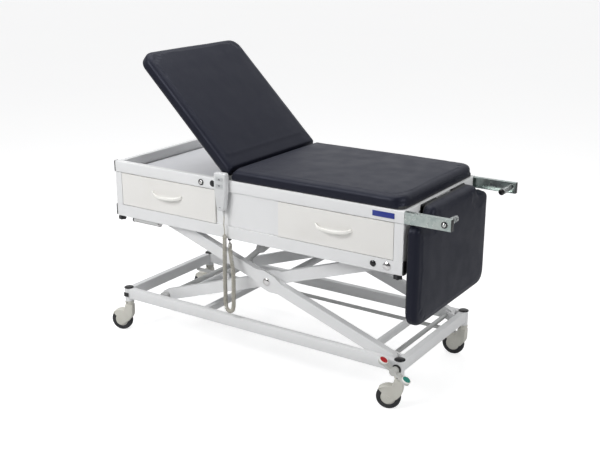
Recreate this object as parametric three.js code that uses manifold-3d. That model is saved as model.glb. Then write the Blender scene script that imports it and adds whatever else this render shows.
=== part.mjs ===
// Height-adjustable examination table with two drawers, a hinged back section and a hanging leg section.
// Millimetres, +X toward the foot end, -Y toward the side with the drawers, +Z up.
import * as THREE from "three";
import { mergeVertices } from "three/addons/utils/BufferGeometryUtils.js";
import Module from "manifold-3d";

const wasm = await Module();
wasm.setup();

// Fits shared by the whole table
const clearance = 0.3;
const runGap = 1;
const overrun = 2;
const roundSides = 14;
const smallSides = 8;
const midSides = 10;
const sides = [-1, 1];

// Overall lengths that the rest hangs on
const boxFoot = 717;
const boxShift = 6;
const boxHead = -boxFoot - boxShift * 2;
const boxHalf = 323.5;
const topRailTop = 819;
const boxTall = 252;
const lowRailBottom = topRailTop - boxTall;
const railTop = 211;
const backX = -99;

// Base frame
const postInset = 8;
const postX = boxFoot - postInset;
const postSide = 23.5;
const postY = boxHalf - postSide;
const postRadius = 20;
const railTall = 50;
const railWide = 30;
const railWall = 2;
const railCorner = 4;
const postOver = 0.6;
const capRadius = 21.5;
const capRise = 5;
const midRailX = -290;
const midRailSize = 30;
const trackAhead = 102;
const trackBehind = 72;
const trackThick = 3;
const trackLip = 22;
const plugWide = 24;
const plugTall = 19;
const plugThick = 3;

// Casters
const wheelRadius = 50;
const wheelWide = 25;
const wheelTrail = 40;
const wheelSides = 16;
const tyreRound = 6;
const hubRadius = 14;
const axleRadius = 5;
const housingRadius = 38;
const housingWide = 37;
const housingSlot = 28.5;
const collarRadius = 18;
const collarTall = 19;
const casterTall = 147;
const ringRadius = 21;
const ringTall = 4;
const swivelsHead = { near: 19.5, far: 10 };
const swivelsFoot = { near: 17.5, far: 2 };

// Brake
const camSink = 30;
const camZ = railTop - camSink;
const camRadius = 6;
const crankReach = 31;
const crankThick = 6;
const crankHalf = 5;
const crankPinRadius = 4;
const linkY = 205;
const linkThick = 6;
const linkTall = 16;
const linkPlay = 2;
const linkGap = 0.5;
const pedalTilt = 30;
const pedalLong = 149;
const pedalWide = 26;
const pedalThick = 9;
const pedalOut = 47;
const pedalY = postY + pedalOut;
const padRadius = 16.5;
const padRim = 2;
const padTall = 6;
const pedalRingRadius = 17;

// Lift
const pivotInset = 65;
const pivotX = boxFoot - pivotInset;
const pivotSink = 13;
const lowPivotZ = railTop - pivotSink;
const rollerInset = 189;
const rollerX = -postX + rollerInset;
const armTall = 50;
const armWide = 30;
const armWall = 2.5;
const armGap = 3;
const pivotPinRadius = 10;
const centrePinRadius = 12;
const domeRadius = 17;
const domeRise = 7;
const gussetLong = 150;
const gussetTall = 78;
const lowRollerRadius = 20;
const lowRollerWide = 20;
const lowAxleRadius = 12.5;
const highAxleRadius = 10;
const highRollerWide = 20;
const crossTubeRadius = 16;
const crossTubeInset = 80;
const upperTubeShift = 55;
const lugThick = 10;
const lugRadius = 18;

// Actuator
const actuatorShift = 85;
const actuatorTopX = backX + actuatorShift;
const actuatorSink = 9;
const actuatorTopZ = lowRailBottom - actuatorSink;
const actuatorFoot = 433.8;
const actuatorRadius = 24;
const actuatorLong = 215;
const rodRadius = 14;
const rodLap = 89.6;
const eyeRadius = 20;
const eyeWide = 24;
const eyePlay = 6.3;
const actuatorPinRadius = 6;
const actuatorLugThick = 8;
const actuatorLugGap = 2;
const beamWide = 40;
const beamTall = 40;

// Box under the upholstery
const topRailTall = 50;
const topRailWide = 26;
const topRailWall = 2;
const lowRailTall = 53;
const lowRailWide = 26;
const lowRailWeb = 2.5;
const lowRailFlange = 3;
const panelThick = 2;
const headRailWide = 27;
const headStileWide = 34;
const footStileWide = 39;
const panelAhead = 66;
const panelBehind = 250;
const centrePanelHead = backX - panelAhead;
const centrePanelFoot = backX + panelBehind;
const centrePanelBack = 8;
const trayThick = 4;
const trayInset = 31;
const endCapThick = 6;
const footCapThick = 5;

// Drawers
const drawerGap = 2;
const frontThick = 18;
const runnerThick = 8;
const runnerTall = 36;
const runnerInset = 17;
const runnerPlay = 0.5;
const partitionThick = 2;
const trayWall = 1.5;
const drawerDeep = 500;
const drawerTall = 112;
const drawerLift = 8;
const handleLong = 160;
const handleOut = 26;
const handleDroop = 10;
const handleWide = 9;
const handleTall = 14;
const handleTop = 64;

// Upholstery
const padOver = 1.5;
const padHalf = boxHalf + padOver;
const boardInset = 5.5;
const boardHalf = boxHalf - boardInset;
const boardThick = 12;
const seatAhead = 10.5;
const seatHead = backX + seatAhead;
const seatInset = 5;
const seatFoot = boxFoot - seatInset;
const seatRise = 56;
const seatTop = topRailTop + seatRise;
const seatBoardGap = 0.5;
const seatBoardHead = seatHead + seatBoardGap;
const seatMitre = 31;
const padCorner = 58;
const padEdge = 22;
const padUnderEdge = 7;
const padCrown = 5;
const padDraw = 3;
const backLift = 9.3;
const backZ = topRailTop + backLift;
const backAngle = 44.5;
const backLong = 653;
const backThick = 57.5;
const backBoardThick = 16;
const backMitreLow = 5;
const backMitreHigh = 24;
const hingePinRadius = 4;
const bracketThick = 3;
const ratchetRadius = 50;
const ratchetTooth = 4;
const ratchetTeeth = 12;
const ratchetThick = 6;
const sectorEnds = [193.5, 266.4];
const ratchetInset = 33;
const ratchetY = boxHalf - ratchetInset;
const pawlAhead = 140;
const pawlX = backX - pawlAhead;
const pawlSink = 27;
const pawlZ = topRailTop - pawlSink;
const pawlBossRadius = 10;
const legOut = 7;
const legX = boxFoot + legOut;
const legSink = 7;
const legZ = topRailTop - legSink;
const legLong = 455;
const legLap = 4;
const legShoulder = 46;
const pegLong = 110.5;
const pegReach = boxHalf - pegLong;
const pegGap = 5;
const legNeck = pegReach - pegGap;
const legBack = 9;
const legFront = 63;
const leafWide = 115;
const leafInset = 18;
const leafOuter = legNeck - leafInset;
const leafInner = leafOuter - leafWide;
const leafLong = 34;
const knuckleRadius = 4.5;

// Pull-out bars
const barHold = 157;
const barReach = 187;
const barHead = boxFoot - barHold;
const barFoot = boxFoot + barReach;
const barGap = 0.8;
const barWall = 2.5;
const barPlate = 4;
const pegInset = 14;
const pegX = barFoot - pegInset;
const pegRadius = 12;
const boltRadius = 7.5;
const boltOut = 5;

// Fittings on the box
const knobRadius = 18;
const knobTall = 20;
const knobStem = 5;
const knobIn = 13;
const knobHeadX = boxHead + knobIn;
const knobFootX = boxFoot - knobIn * 2 + runGap;
const knobInset = 16.5;
const knobY = boxHalf - knobInset;
const cylinderIn = 84;
const cylinderLong = 155;
const cylinderHead = boxHead + cylinderIn;
const cylinderFoot = cylinderHead + cylinderLong;
const cylinderRadius = 11.5;
const plugRadius = 14;
const plugRise = 3;
const roundPlugAhead = 79;
const roundPlugX = backX - roundPlugAhead;
const domePlugIn = 125;
const domePlugX = boxFoot - domePlugIn;
const catchRing = 13;
const catchRadius = 9;
const catchOut = 8;

// Handset
const handAhead = 51;
const handWide = 60;
const handHead = backX - handAhead;
const handFoot = handHead + handWide;
const handRise = 33;
const handLong = 162;
const handTop = topRailTop + handRise;
const handBottom = handTop - handLong;
const handThick = 25.7;
const handWaist = 36;
const handCorner = 9;
const clipThick = 2.2;
const clipLong = 40;
const keyWide = 34;
const keyTall = 15;
const keyRise = 3.5;
const keySink = 3;
const keyPlay = 0.6;
const keyDown = 26;
const keyStep = 28;
const keyUpZ = handTop - keyDown;
const keyDownZ = keyUpZ - keyStep;
const reliefRadius = 6;
const reliefTall = 22;

// Curly cord
const wireRadius = 2.3;
const curlRadius = 7;
const curlPitch = 13.6;
const curlSteps = 8;
const wireFaces = 5;
const leadRadius = 2.5;
const leadFaces = 8;
const glandRadius = 8;
const glandTall = 11;
const leadAhead = 10;
const leadX = backX - leadAhead;
const cordOut = 14.5;
const cordIn = 13.5;
// Along, across and down from the lead, the near face and the underside of the rail
const cordSteps = [
  [0, -cordOut, 23],
  [-2, -cordOut, -67],
  [-3, -cordOut, -167],
  [-2.5, -cordOut, -247],
  [-1.5, -cordOut, -295],
  [4.5, -cordOut, -314],
  [19, -cordOut, -321],
  [33.5, -cordOut, -314],
  [39.5, -cordOut, -295],
  [41, -cordOut, -247],
  [42, -cordOut, -167],
  [39, -cordOut, -122],
  [23, -cordOut + 11, -77],
  [9, cordIn - 3, -47],
  [5, cordIn, -20.8],
];
const cordRoute = cordSteps.map(([x, y, z]) => [leadX + x, y - boxHalf, lowRailBottom + z]);

// Places that follow from the sizes above
const railHalf = railWide / 2;
const railBottom = railTop - railTall;
const postTop = railTop + postOver;
const highPivotZ = lowRailBottom + lowRailTall / 2;
const liftRise = highPivotZ - lowPivotZ;
const armLong = Math.hypot(pivotX - rollerX, liftRise);
const armAngle = Math.atan2(liftRise, pivotX - rollerX);
const outerArmOut = postY - railHalf - runGap;
const outerArmIn = outerArmOut - armWide;
const innerArmOut = outerArmIn - armGap;
const innerArmIn = innerArmOut - armWide;
const lowRailTop = lowRailBottom + lowRailTall;
const lowRailIn = boxHalf - lowRailWide;
const highRollerRadius = lowRailTall / 2 - lowRailFlange - clearance;
const topRailBottom = topRailTop - topRailTall;
const topRailIn = boxHalf - topRailWide;
const trayTop = topRailBottom + trayThick;
const trayHead = boxHead + trayInset;
const headOpening = [boxHead + headStileWide, centrePanelHead];
const footOpening = [centrePanelFoot, boxFoot - footStileWide];
const boardBottom = topRailTop + clearance;
const barOut = boxHalf - topRailWall - barGap;
const barIn = topRailIn + topRailWall + barGap;
const barBottom = topRailBottom + topRailWall + barGap;
const barTop = topRailTop - topRailWall - barGap;
const barMiddle = (barBottom + barTop) / 2;
const nose = backBoardThick / 2;
const trayFoot = backX - nose - clearance;
const bushFit = clearance * 2;
const handMiddle = (handHead + handFoot) / 2;
const handBack = -boxHalf - clearance * 2 - clipThick;
const handFace = handBack - handThick;

// Solids, joined and cut as closed meshes
function closed(geometry) {
  const bare = geometry.index ? geometry.toNonIndexed() : geometry.clone();
  for (const name of Object.keys(bare.attributes)) {
    if (name !== "position") bare.deleteAttribute(name);
  }
  const merged = mergeVertices(bare);
  const place = merged.getAttribute("position");
  const faces = [];
  let volume = 0;
  const [a, b, c] = [new THREE.Vector3(), new THREE.Vector3(), new THREE.Vector3()];
  for (let i = 0; i < merged.index.count; i += 3) {
    const [p, q, r] = [merged.index.getX(i), merged.index.getX(i + 1), merged.index.getX(i + 2)];
    if (p === q || q === r || r === p) continue;
    faces.push(p, q, r);
    a.fromBufferAttribute(place, p);
    b.fromBufferAttribute(place, q);
    c.fromBufferAttribute(place, r);
    volume += a.dot(b.cross(c));
  }
  if (volume < 0) faces.reverse();
  merged.setIndex(faces);
  return merged;
}

function toSolid(geometry) {
  const mesh = closed(geometry);
  const vertProperties = new Float32Array(mesh.getAttribute("position").array);
  const triVerts = new Uint32Array(mesh.index.array);
  return new wasm.Manifold(new wasm.Mesh({ numProp: 3, vertProperties, triVerts }));
}

function toGeometry(solid) {
  const mesh = solid.getMesh();
  const geometry = new THREE.BufferGeometry();
  geometry.setAttribute("position", new THREE.BufferAttribute(mesh.vertProperties, 3));
  geometry.setIndex(new THREE.BufferAttribute(mesh.triVerts, 1));
  return geometry;
}

function join(...pieces) {
  return toGeometry(pieces.flat().map(toSolid).reduce((whole, piece) => whole.add(piece)));
}

function cut(piece, ...tools) {
  const taken = tools.flat().map(toSolid);
  return toGeometry(taken.reduce((whole, tool) => whole.subtract(tool), toSolid(piece)));
}

// Outlines
function roundRect(u0, u1, v0, v1, r = 0) {
  const shape = new THREE.Shape();
  if (r <= 0) {
    return shape.moveTo(u0, v0).lineTo(u1, v0).lineTo(u1, v1).lineTo(u0, v1);
  }
  shape.moveTo(u0 + r, v0);
  shape.lineTo(u1 - r, v0).absarc(u1 - r, v0 + r, r, -Math.PI / 2, 0);
  shape.lineTo(u1, v1 - r).absarc(u1 - r, v1 - r, r, 0, Math.PI / 2);
  shape.lineTo(u0 + r, v1).absarc(u0 + r, v1 - r, r, Math.PI / 2, Math.PI);
  shape.lineTo(u0, v0 + r).absarc(u0 + r, v0 + r, r, Math.PI, Math.PI * 1.5);
  return shape;
}

function tubeShape(u0, u1, v0, v1, wall, r) {
  const shape = roundRect(u0, u1, v0, v1, r);
  const inner = Math.max(r - wall, wall / 2);
  shape.holes.push(roundRect(u0 + wall, u1 - wall, v0 + wall, v1 - wall, inner));
  return shape;
}

function polygon(points) {
  return new THREE.Shape(points.map(([u, v]) => new THREE.Vector2(u, v)));
}

// Extrusions along one axis; an outline is given in the two other axes
function extrude(shape, depth, arcSteps) {
  return new THREE.ExtrudeGeometry(shape, { depth, bevelEnabled: false, curveSegments: arcSteps });
}

function extrudeX(shape, x0, x1, arcSteps = 1) {
  const turn = new THREE.Matrix4().set(0, 0, 1, x0, 1, 0, 0, 0, 0, 1, 0, 0, 0, 0, 0, 1);
  return extrude(shape, x1 - x0, arcSteps).applyMatrix4(turn);
}

function extrudeY(shape, y0, y1, arcSteps = 1) {
  return extrude(shape, y1 - y0, arcSteps).rotateX(Math.PI / 2).translate(0, y1, 0);
}

function extrudeZ(shape, z0, z1, arcSteps = 1) {
  return extrude(shape, z1 - z0, arcSteps).translate(0, 0, z0);
}

function block(x0, x1, y0, y1, z0, z1) {
  const [left, right] = [Math.min(x0, x1), Math.max(x0, x1)];
  return extrudeZ(roundRect(left, right, Math.min(y0, y1), Math.max(y0, y1)), z0, z1);
}

// Turned pieces; a profile lists [radius, height] pairs
function turnZ(profile, count = roundSides) {
  const points = profile.map(([r, h]) => new THREE.Vector2(r, h));
  return new THREE.LatheGeometry(points, count).rotateX(Math.PI / 2);
}

function turnY(profile, count = roundSides) {
  const points = profile.map(([r, h]) => new THREE.Vector2(r, h));
  return new THREE.LatheGeometry(points, count);
}

function rodX(r, x0, x1, y, z, count = smallSides) {
  return turnY([[0, x0], [r, x0], [r, x1], [0, x1]], count).rotateZ(-Math.PI / 2).translate(0, y, z);
}

function rodY(r, y0, y1, x, z, count = smallSides) {
  return turnY([[0, y0], [r, y0], [r, y1], [0, y1]], count).translate(x, 0, z);
}

function rodZ(r, z0, z1, x, y, count = smallSides) {
  return turnZ([[0, z0], [r, z0], [r, z1], [0, z1]], count).translate(x, y, 0);
}

// Low dome on a wall facing along -Y or +Y, standing out from y0
function domeY(r, rise, x, y0, z, side, count = roundSides) {
  const rimShare = 0.3;
  const shoulderShare = 0.75;
  const profile = [[0, 0], [r, 0], [r, rise * rimShare],
    [r * shoulderShare, rise * shoulderShare], [0, rise]];
  return turnY(profile.map(([radius, h]) => [radius, side * h]), count).translate(x, y0, z);
}

const looks = {
  coat: { color: 0xe9ebea, roughness: 0.45, metalness: 0.1 },
  front: { color: 0xdddcd6, roughness: 0.5, metalness: 0.05 },
  pad: { color: 0x2b2d38, roughness: 0.6, metalness: 0 },
  board: { color: 0x3a3b3f, roughness: 0.8, metalness: 0 },
  zinc: { color: 0xa9b3b2, roughness: 0.35, metalness: 0.8 },
  chrome: { color: 0xc9ccd0, roughness: 0.15, metalness: 1 },
  steel: { color: 0x9a9c9e, roughness: 0.4, metalness: 0.9 },
  cream: { color: 0xd8d5cb, roughness: 0.55, metalness: 0 },
  tyre: { color: 0x26272a, roughness: 0.75, metalness: 0 },
  black: { color: 0x17181b, roughness: 0.5, metalness: 0 },
  grey: { color: 0xb9bbbd, roughness: 0.5, metalness: 0 },
  handset: { color: 0xcfd0cc, roughness: 0.5, metalness: 0 },
  cord: { color: 0xa8a196, roughness: 0.6, metalness: 0 },
  red: { color: 0xb3161b, roughness: 0.45, metalness: 0 },
  green: { color: 0x0f7d6c, roughness: 0.45, metalness: 0 },
};

function piece(name, geometry, look, parent) {
  const mesh = new THREE.Mesh(closed(geometry), new THREE.MeshStandardMaterial(looks[look]));
  mesh.name = name;
  parent.add(mesh);
  return mesh;
}

const table = new THREE.Group();

// Base frame: two side rails, two end frames with the posts, a light middle rail
function sideRail(side) {
  const shape = tubeShape(postY - railHalf, postY + railHalf, railBottom, railTop, railWall, railCorner);
  const rail = extrudeX(shape, -postX, postX);
  const ends = sides.map((end) => rodZ(postRadius + clearance, railBottom - overrun, railTop + overrun,
    end * postX, postY, roundSides));
  const outside = sides.flatMap((end) => [
    block(end * postX, end * (postX + postRadius), 0, postY + postRadius, railBottom - overrun,
      railTop + overrun),
    block(end * (postX - railHalf - clearance), end * (postX + postRadius), 0, postY, railBottom - overrun,
      railTop + overrun)]);
  const made = join(cut(rail, ends, outside), rollerTrack());
  return side > 0 ? made : made.scale(1, -1, 1);
}

// Angle bar on the side rail's inner face; the roller runs on its flange under its web
function rollerTrack() {
  const inner = outerArmIn + clearance;
  const outer = postY - railHalf + railWall / 2;
  const top = lowPivotZ - lowRollerRadius - clearance;
  const web = postY - railHalf - trackThick;
  const shape = polygon([[inner, top - trackThick], [outer, top - trackThick], [outer, top + trackLip],
    [web, top + trackLip], [web, top], [inner, top]]);
  return extrudeX(shape, rollerX - trackAhead, rollerX + trackBehind);
}

// Cross rail with a slot under it for the brake crank, between two capped posts
function endFrame(end) {
  const slotHalf = railHalf - railWall - clearance;
  const slotSide = crankThick / 2 + runGap;
  const shape = tubeShape(postX - railHalf, postX + railHalf, railBottom, railTop, railWall, railCorner);
  const rail = extrudeY(shape, -postY, postY);
  const crankAt = end * (linkY + linkThick / 2 + crankThick / 2 + linkGap);
  const slot = block(postX - slotHalf, postX + slotHalf, crankAt - slotSide, crankAt + slotSide,
    railBottom - overrun, railBottom + railWall + overrun);
  const posts = sides.map((side) => join(
    rodZ(postRadius, casterTall + clearance, postTop, postX, side * postY, roundSides),
    postCap().translate(postX, side * postY, 0)));
  const bore = rodY(camRadius + clearance * 2, -postY - postRadius - overrun, postY + postRadius + overrun,
    postX, camZ);
  const made = cut(join(rail, posts), slot, bore);
  return end > 0 ? made : made.rotateZ(Math.PI);
}

function postCap() {
  const rimShare = 0.35;
  const shoulderShare = 0.72;
  const z0 = postTop - clearance;
  return turnZ([[0, z0], [capRadius, z0], [capRadius, z0 + capRise * rimShare],
    [capRadius * shoulderShare, z0 + capRise * shoulderShare], [0, z0 + capRise]], midSides);
}

function middleRail() {
  const [x0, x1] = [midRailX - midRailSize / 2, midRailX + midRailSize / 2];
  const reach = postY - railHalf - clearance;
  const shape = tubeShape(x0, x1, railBottom, railBottom + midRailSize, railWall, railCorner);
  return extrudeY(shape, -reach, reach);
}

function lowerPivot() {
  const wall = postX - railHalf + railWall / 2;
  const near = innerArmOut - clearance - runGap;
  const lugs = sides.map((side) => {
    const shape = polygon([[pivotX, lowPivotZ - lugRadius], [wall, railBottom + railCorner],
      [wall, railTop - railCorner], [pivotX, lowPivotZ + lugRadius]]);
    const [y0, y1] = [side * near, side * (near - lugThick)];
    return join(extrudeY(shape, Math.min(y0, y1), Math.max(y0, y1)),
      rodY(lugRadius, Math.min(y0, y1), Math.max(y0, y1), pivotX, lowPivotZ, roundSides));
  });
  return join(lugs, rodY(pivotPinRadius, -outerArmOut, outerArmOut, pivotX, lowPivotZ, roundSides));
}

function squarePlug() {
  const y0 = -postY - postRadius;
  return block(-postX - plugWide / 2, -postX + plugWide / 2, y0 - plugThick, y0 + plugThick / 2,
    camZ - plugTall / 2, camZ + plugTall / 2);
}

const base = new THREE.Group();
table.add(base);
piece("base_rail_near", sideRail(-1), "coat", base);
piece("base_rail_far", sideRail(1), "coat", base);
piece("base_end_head", join(endFrame(-1), squarePlug()), "coat", base);
piece("base_end_foot", join(endFrame(1), lowerPivot()), "coat", base);
piece("base_middle_rail", middleRail(), "coat", base);

// Brake: two cam shafts with cranks, joined by a flat link bar; a pedal on the foot shaft
function crank(end) {
  const y0 = linkY + linkThick / 2 + linkGap;
  const plate = extrudeY(roundRect(-crankHalf, crankHalf, -crankReach - crankHalf, crankHalf, crankHalf),
    y0, y0 + crankThick, 3);
  const pin = rodY(crankPinRadius, linkY - linkThick / 2 - runGap, y0 + crankThick / 2, 0, -crankReach);
  return join(plate, pin).translate(end * postX, 0, camZ);
}

function linkBar() {
  const half = postX + linkTall / 2;
  const z = camZ - crankReach;
  const bar = extrudeY(roundRect(-half, half, z - linkTall / 2, z + linkTall / 2, linkTall / 2 - clearance),
    linkY - linkThick / 2, linkY + linkThick / 2, 3);
  const holes = sides.map((end) => rodY(crankPinRadius + linkPlay, linkY - linkThick, linkY + linkThick,
    end * postX, z));
  return cut(bar, holes);
}

const shaftFar = postY + postRadius;
const shaftNear = -postY - postRadius + plugThick;
const headShaft = rodY(camRadius, shaftNear, shaftFar, -postX, camZ);
piece("brake_cam_shaft_head", join(headShaft, crank(-1)), "steel", base);
piece("brake_link_bar", linkBar(), "steel", base);

function pedal() {
  const half = pedalLong / 2;
  const lever = extrudeZ(roundRect(-half, half, -pedalWide / 2, pedalWide / 2, pedalWide / 2 - clearance),
    -pedalThick / 2, pedalThick / 2, 4);
  const rims = sides.map((end) => rodZ(padRadius + padRim, -pedalThick / 2, pedalThick / 2,
    end * (half - padRadius), 0, roundSides));
  const boss = rodY(pedalRingRadius - padRim, -pedalWide / 2, pedalY - postY - postRadius - runGap,
    0, 0, roundSides);
  return join(lever, rims, boss)
    .rotateY(THREE.MathUtils.degToRad(pedalTilt)).translate(postX, -pedalY, camZ);
}

function pedalPad(end) {
  const z0 = pedalThick / 2 + clearance;
  const roundShare = 0.82;
  const pad = turnZ([[0, z0], [padRadius, z0], [padRadius, z0 + padTall * roundShare],
    [padRadius * roundShare, z0 + padTall], [0, z0 + padTall]]);
  return pad.translate(end * (pedalLong / 2 - padRadius), 0, 0)
    .rotateY(THREE.MathUtils.degToRad(pedalTilt)).translate(postX, -pedalY, camZ);
}

const footShaft = rodY(camRadius, -pedalY, shaftFar, postX, camZ);
piece("brake_pedal", join(pedal(), footShaft, crank(1)), "steel", base);
piece("pedal_pad_red", pedalPad(-1), "red", base);
piece("pedal_pad_green", pedalPad(1), "green", base);

// Casters: moulded housing over a solid tyre, turned about the post
function casterHousing() {
  const wheelX = -wheelTrail;
  const half = housingWide / 2;
  const cheekShare = 1.7;
  const bendShare = 0.6;
  const outline = new THREE.Shape();
  outline.moveTo(wheelX - housingRadius, wheelRadius);
  outline.absarc(wheelX, wheelRadius, housingRadius, Math.PI, Math.PI * 0.5, true);
  outline.lineTo(-collarRadius / 2, casterTall - collarTall);
  outline.lineTo(collarRadius, casterTall - collarTall);
  outline.lineTo(collarRadius, wheelRadius * cheekShare);
  outline.quadraticCurveTo(collarRadius * bendShare, wheelRadius, wheelX + hubRadius,
    wheelRadius - hubRadius);
  outline.absarc(wheelX, wheelRadius, hubRadius * Math.SQRT2, -Math.PI / 4, -Math.PI * 0.75, true);
  const shell = extrudeY(outline, -half, half, 4);
  const slotEdge = wheelRadius + runGap * 2;
  const slot = extrudeY(roundRect(wheelX - slotEdge, wheelX + slotEdge, -slotEdge, wheelRadius + slotEdge,
    slotEdge - clearance), -housingSlot / 2, housingSlot / 2, 2);
  const body = cut(shell, slot);
  const axle = rodY(axleRadius, -half + clearance, half - clearance, wheelX, wheelRadius);
  const collar = rodZ(collarRadius, casterTall - collarTall - overrun, casterTall - ringTall,
    0, 0, midSides);
  const ring = rodZ(ringRadius, casterTall - ringTall, casterTall, 0, 0, midSides);
  return join(body, axle, collar, ring);
}

function casterWheel() {
  const flat = wheelRadius / Math.cos(Math.PI / wheelSides);
  const half = wheelWide / 2;
  const hub = half + clearance * 2;
  const bore = axleRadius + clearance;
  const profile = [[bore, -hub], [hubRadius, -hub], [flat - tyreRound, -half], [flat, -half + tyreRound],
    [flat, half - tyreRound], [flat - tyreRound, half], [hubRadius, hub], [bore, hub], [bore, -hub]];
  return turnY(profile, wheelSides).rotateY(Math.PI / wheelSides);
}

const casterPlaces = [
  ["near_head", -postX, -postY, swivelsHead.near],
  ["far_head", -postX, postY, swivelsHead.far],
  ["near_foot", postX, -postY, swivelsFoot.near],
  ["far_foot", postX, postY, swivelsFoot.far],
];
for (const [name, x, y, swivel] of casterPlaces) {
  const caster = new THREE.Group();
  caster.position.set(x, y, 0);
  caster.rotation.z = THREE.MathUtils.degToRad(swivel);
  table.add(caster);
  piece(`caster_housing_${name}`, casterHousing(), "cream", caster);
  const wheel = piece(`caster_wheel_${name}`, casterWheel(), "tyre", caster);
  wheel.position.set(-wheelTrail, 0, wheelRadius);
}

// Lift: outer arms from the lower pivot, inner arms from the upper pivot, crossing at mid-length
const armHalf = armLong / 2;
const crossX = (pivotX + rollerX) / 2;
const crossZ = (lowPivotZ + highPivotZ) / 2;

function arm(inner, outer, pinAt, side) {
  const r = armTall / 2;
  const bar = extrudeY(roundRect(-armHalf - r, armHalf + r, -r, r, r - clearance), inner, outer, 3);
  const hollow = block(-armHalf + r, armHalf - r, inner + armWall, outer - armWall,
    -r + armWall, r - armWall);
  const g = gussetLong / 2;
  const flatShare = 0.35;
  const [x1, z1] = [g * flatShare, gussetTall / 2];
  const step = r - armWall;
  const gusset = extrudeY(polygon([[-g, -step], [-x1, -z1], [x1, -z1], [g, -step], [g, step], [x1, z1],
    [-x1, z1], [-g, step]]), outer - armWall, outer - clearance);
  const holes = pinAt.map(([x, radius]) => rodY(radius, inner - overrun, outer + overrun, x, 0,
    roundSides));
  const made = cut(join(bar, gusset), hollow, holes);
  return side > 0 ? made : made.scale(1, -1, 1);
}

function crossTube(radius, reach, x) {
  return rodY(radius, -reach, reach, x, 0, midSides);
}

const outerGroup = new THREE.Group();
outerGroup.position.set(crossX, 0, crossZ);
outerGroup.rotation.y = armAngle;
table.add(outerGroup);
const innerGroup = new THREE.Group();
innerGroup.position.set(crossX, 0, crossZ);
innerGroup.rotation.y = -armAngle;
table.add(innerGroup);

function outerArms() {
  const pins = [[armHalf, pivotPinRadius + bushFit], [0, centrePinRadius + bushFit],
    [-armHalf, highAxleRadius + bushFit]];
  const tubes = sides.map((end) => crossTube(crossTubeRadius, outerArmIn + armWall,
    end * (armHalf - crossTubeInset)));
  return join(sides.map((side) => arm(outerArmIn, outerArmOut, pins, side)), tubes);
}

function innerArms() {
  const pins = [[armHalf, pivotPinRadius + bushFit], [0, centrePinRadius + bushFit],
    [-armHalf, lowAxleRadius + bushFit]];
  const arms = sides.map((side) => arm(innerArmIn, innerArmOut, pins, side));
  const reach = innerArmIn + armWall;
  const tubeShare = 1.6;
  const footTube = -actuatorFoot - eyeRadius - crossTubeRadius * tubeShare;
  const inner = eyeWide / 2 + actuatorLugGap;
  const plates = sides.map((side) => {
    const [y0, y1] = [side * inner, side * (inner + actuatorLugThick)];
    const [low, high] = [Math.min(y0, y1), Math.max(y0, y1)];
    const half = actuatorPinRadius * 2;
    return join(extrudeY(roundRect(footTube, -actuatorFoot, -half, half), low, high),
      rodY(half, low, high, -actuatorFoot, 0, midSides));
  });
  const pin = rodY(actuatorPinRadius, -inner - actuatorLugThick / 2, inner + actuatorLugThick / 2,
    -actuatorFoot, 0);
  const tubes = [upperTubeShift, footTube].map((x) => crossTube(crossTubeRadius, reach, x));
  return join(arms, tubes, plates, pin);
}

function centrePivot(side) {
  const from = side * (innerArmIn + armWall);
  const to = side * (outerArmOut + clearance);
  const pin = rodY(centrePinRadius, Math.min(from, to), Math.max(from, to), 0, 0, roundSides);
  return join(pin, domeY(domeRadius, domeRise, 0, to - side * clearance / 3, 0, side));
}

function rollerAxle(axle, roller, inner, outer) {
  return turnY([[0, -outer], [roller, -outer], [roller, -inner], [axle, -inner], [axle, inner],
    [roller, inner], [roller, outer], [0, outer]]);
}

piece("outer_arms", outerArms(), "coat", outerGroup);
piece("centre_pivot_near", centrePivot(-1), "chrome", outerGroup);
piece("centre_pivot_far", centrePivot(1), "chrome", outerGroup);
const highRollerOut = boxHalf - lowRailWeb - clearance * 2;
const highRollerIn = highRollerOut - highRollerWide;
piece("upper_roller_axle",
  rollerAxle(highAxleRadius, highRollerRadius, highRollerIn, highRollerOut),
  "grey", outerGroup).position.set(-armHalf, 0, 0);
piece("inner_arms", innerArms(), "coat", innerGroup);
const lowRollerIn = outerArmIn + runGap;
piece("lower_roller_axle",
  rollerAxle(lowAxleRadius, lowRollerRadius, lowRollerIn, lowRollerIn + lowRollerWide),
  "grey", innerGroup).position.set(-armHalf, 0, 0);

// Actuator between the beam under the box and the lugs on the inner arms
const footX = crossX - actuatorFoot * Math.cos(armAngle);
const footZ = crossZ - actuatorFoot * Math.sin(armAngle);
const actuatorReach = Math.hypot(actuatorTopX - footX, actuatorTopZ - footZ);
const actuatorGroup = new THREE.Group();
actuatorGroup.position.set(actuatorTopX, 0, actuatorTopZ);
actuatorGroup.rotation.y = Math.PI - Math.atan2(actuatorTopZ - footZ, actuatorTopX - footX);
table.add(actuatorGroup);

function turnX(profile, count = roundSides) {
  return turnY(profile, count).rotateZ(-Math.PI / 2);
}

function actuatorTube() {
  const capShare = 0.6;
  const boreShare = 2.5;
  const neckShare = 0.8;
  const capLong = eyeRadius * capShare;
  const boreStart = actuatorRadius * boreShare;
  const neckRadius = eyeRadius * neckShare;
  const bore = rodRadius + clearance * 2;
  const barrel = turnX([[0, neckRadius], [eyeRadius, neckRadius], [actuatorRadius, eyeRadius + capLong],
    [actuatorRadius, actuatorLong - capLong], [eyeRadius, actuatorLong], [bore, actuatorLong],
    [bore, boreStart], [0, boreStart]]);
  const eye = rodY(neckRadius, -eyeWide / 2, eyeWide / 2, 0, 0, roundSides);
  const neck = block(0, eyeRadius + capLong, -eyeWide / 2, eyeWide / 2, -eyeRadius / 2, eyeRadius / 2);
  const hole = rodY(actuatorPinRadius + bushFit, -eyeWide, eyeWide, 0, 0, midSides);
  return cut(join(barrel, eye, neck), hole);
}

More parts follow.
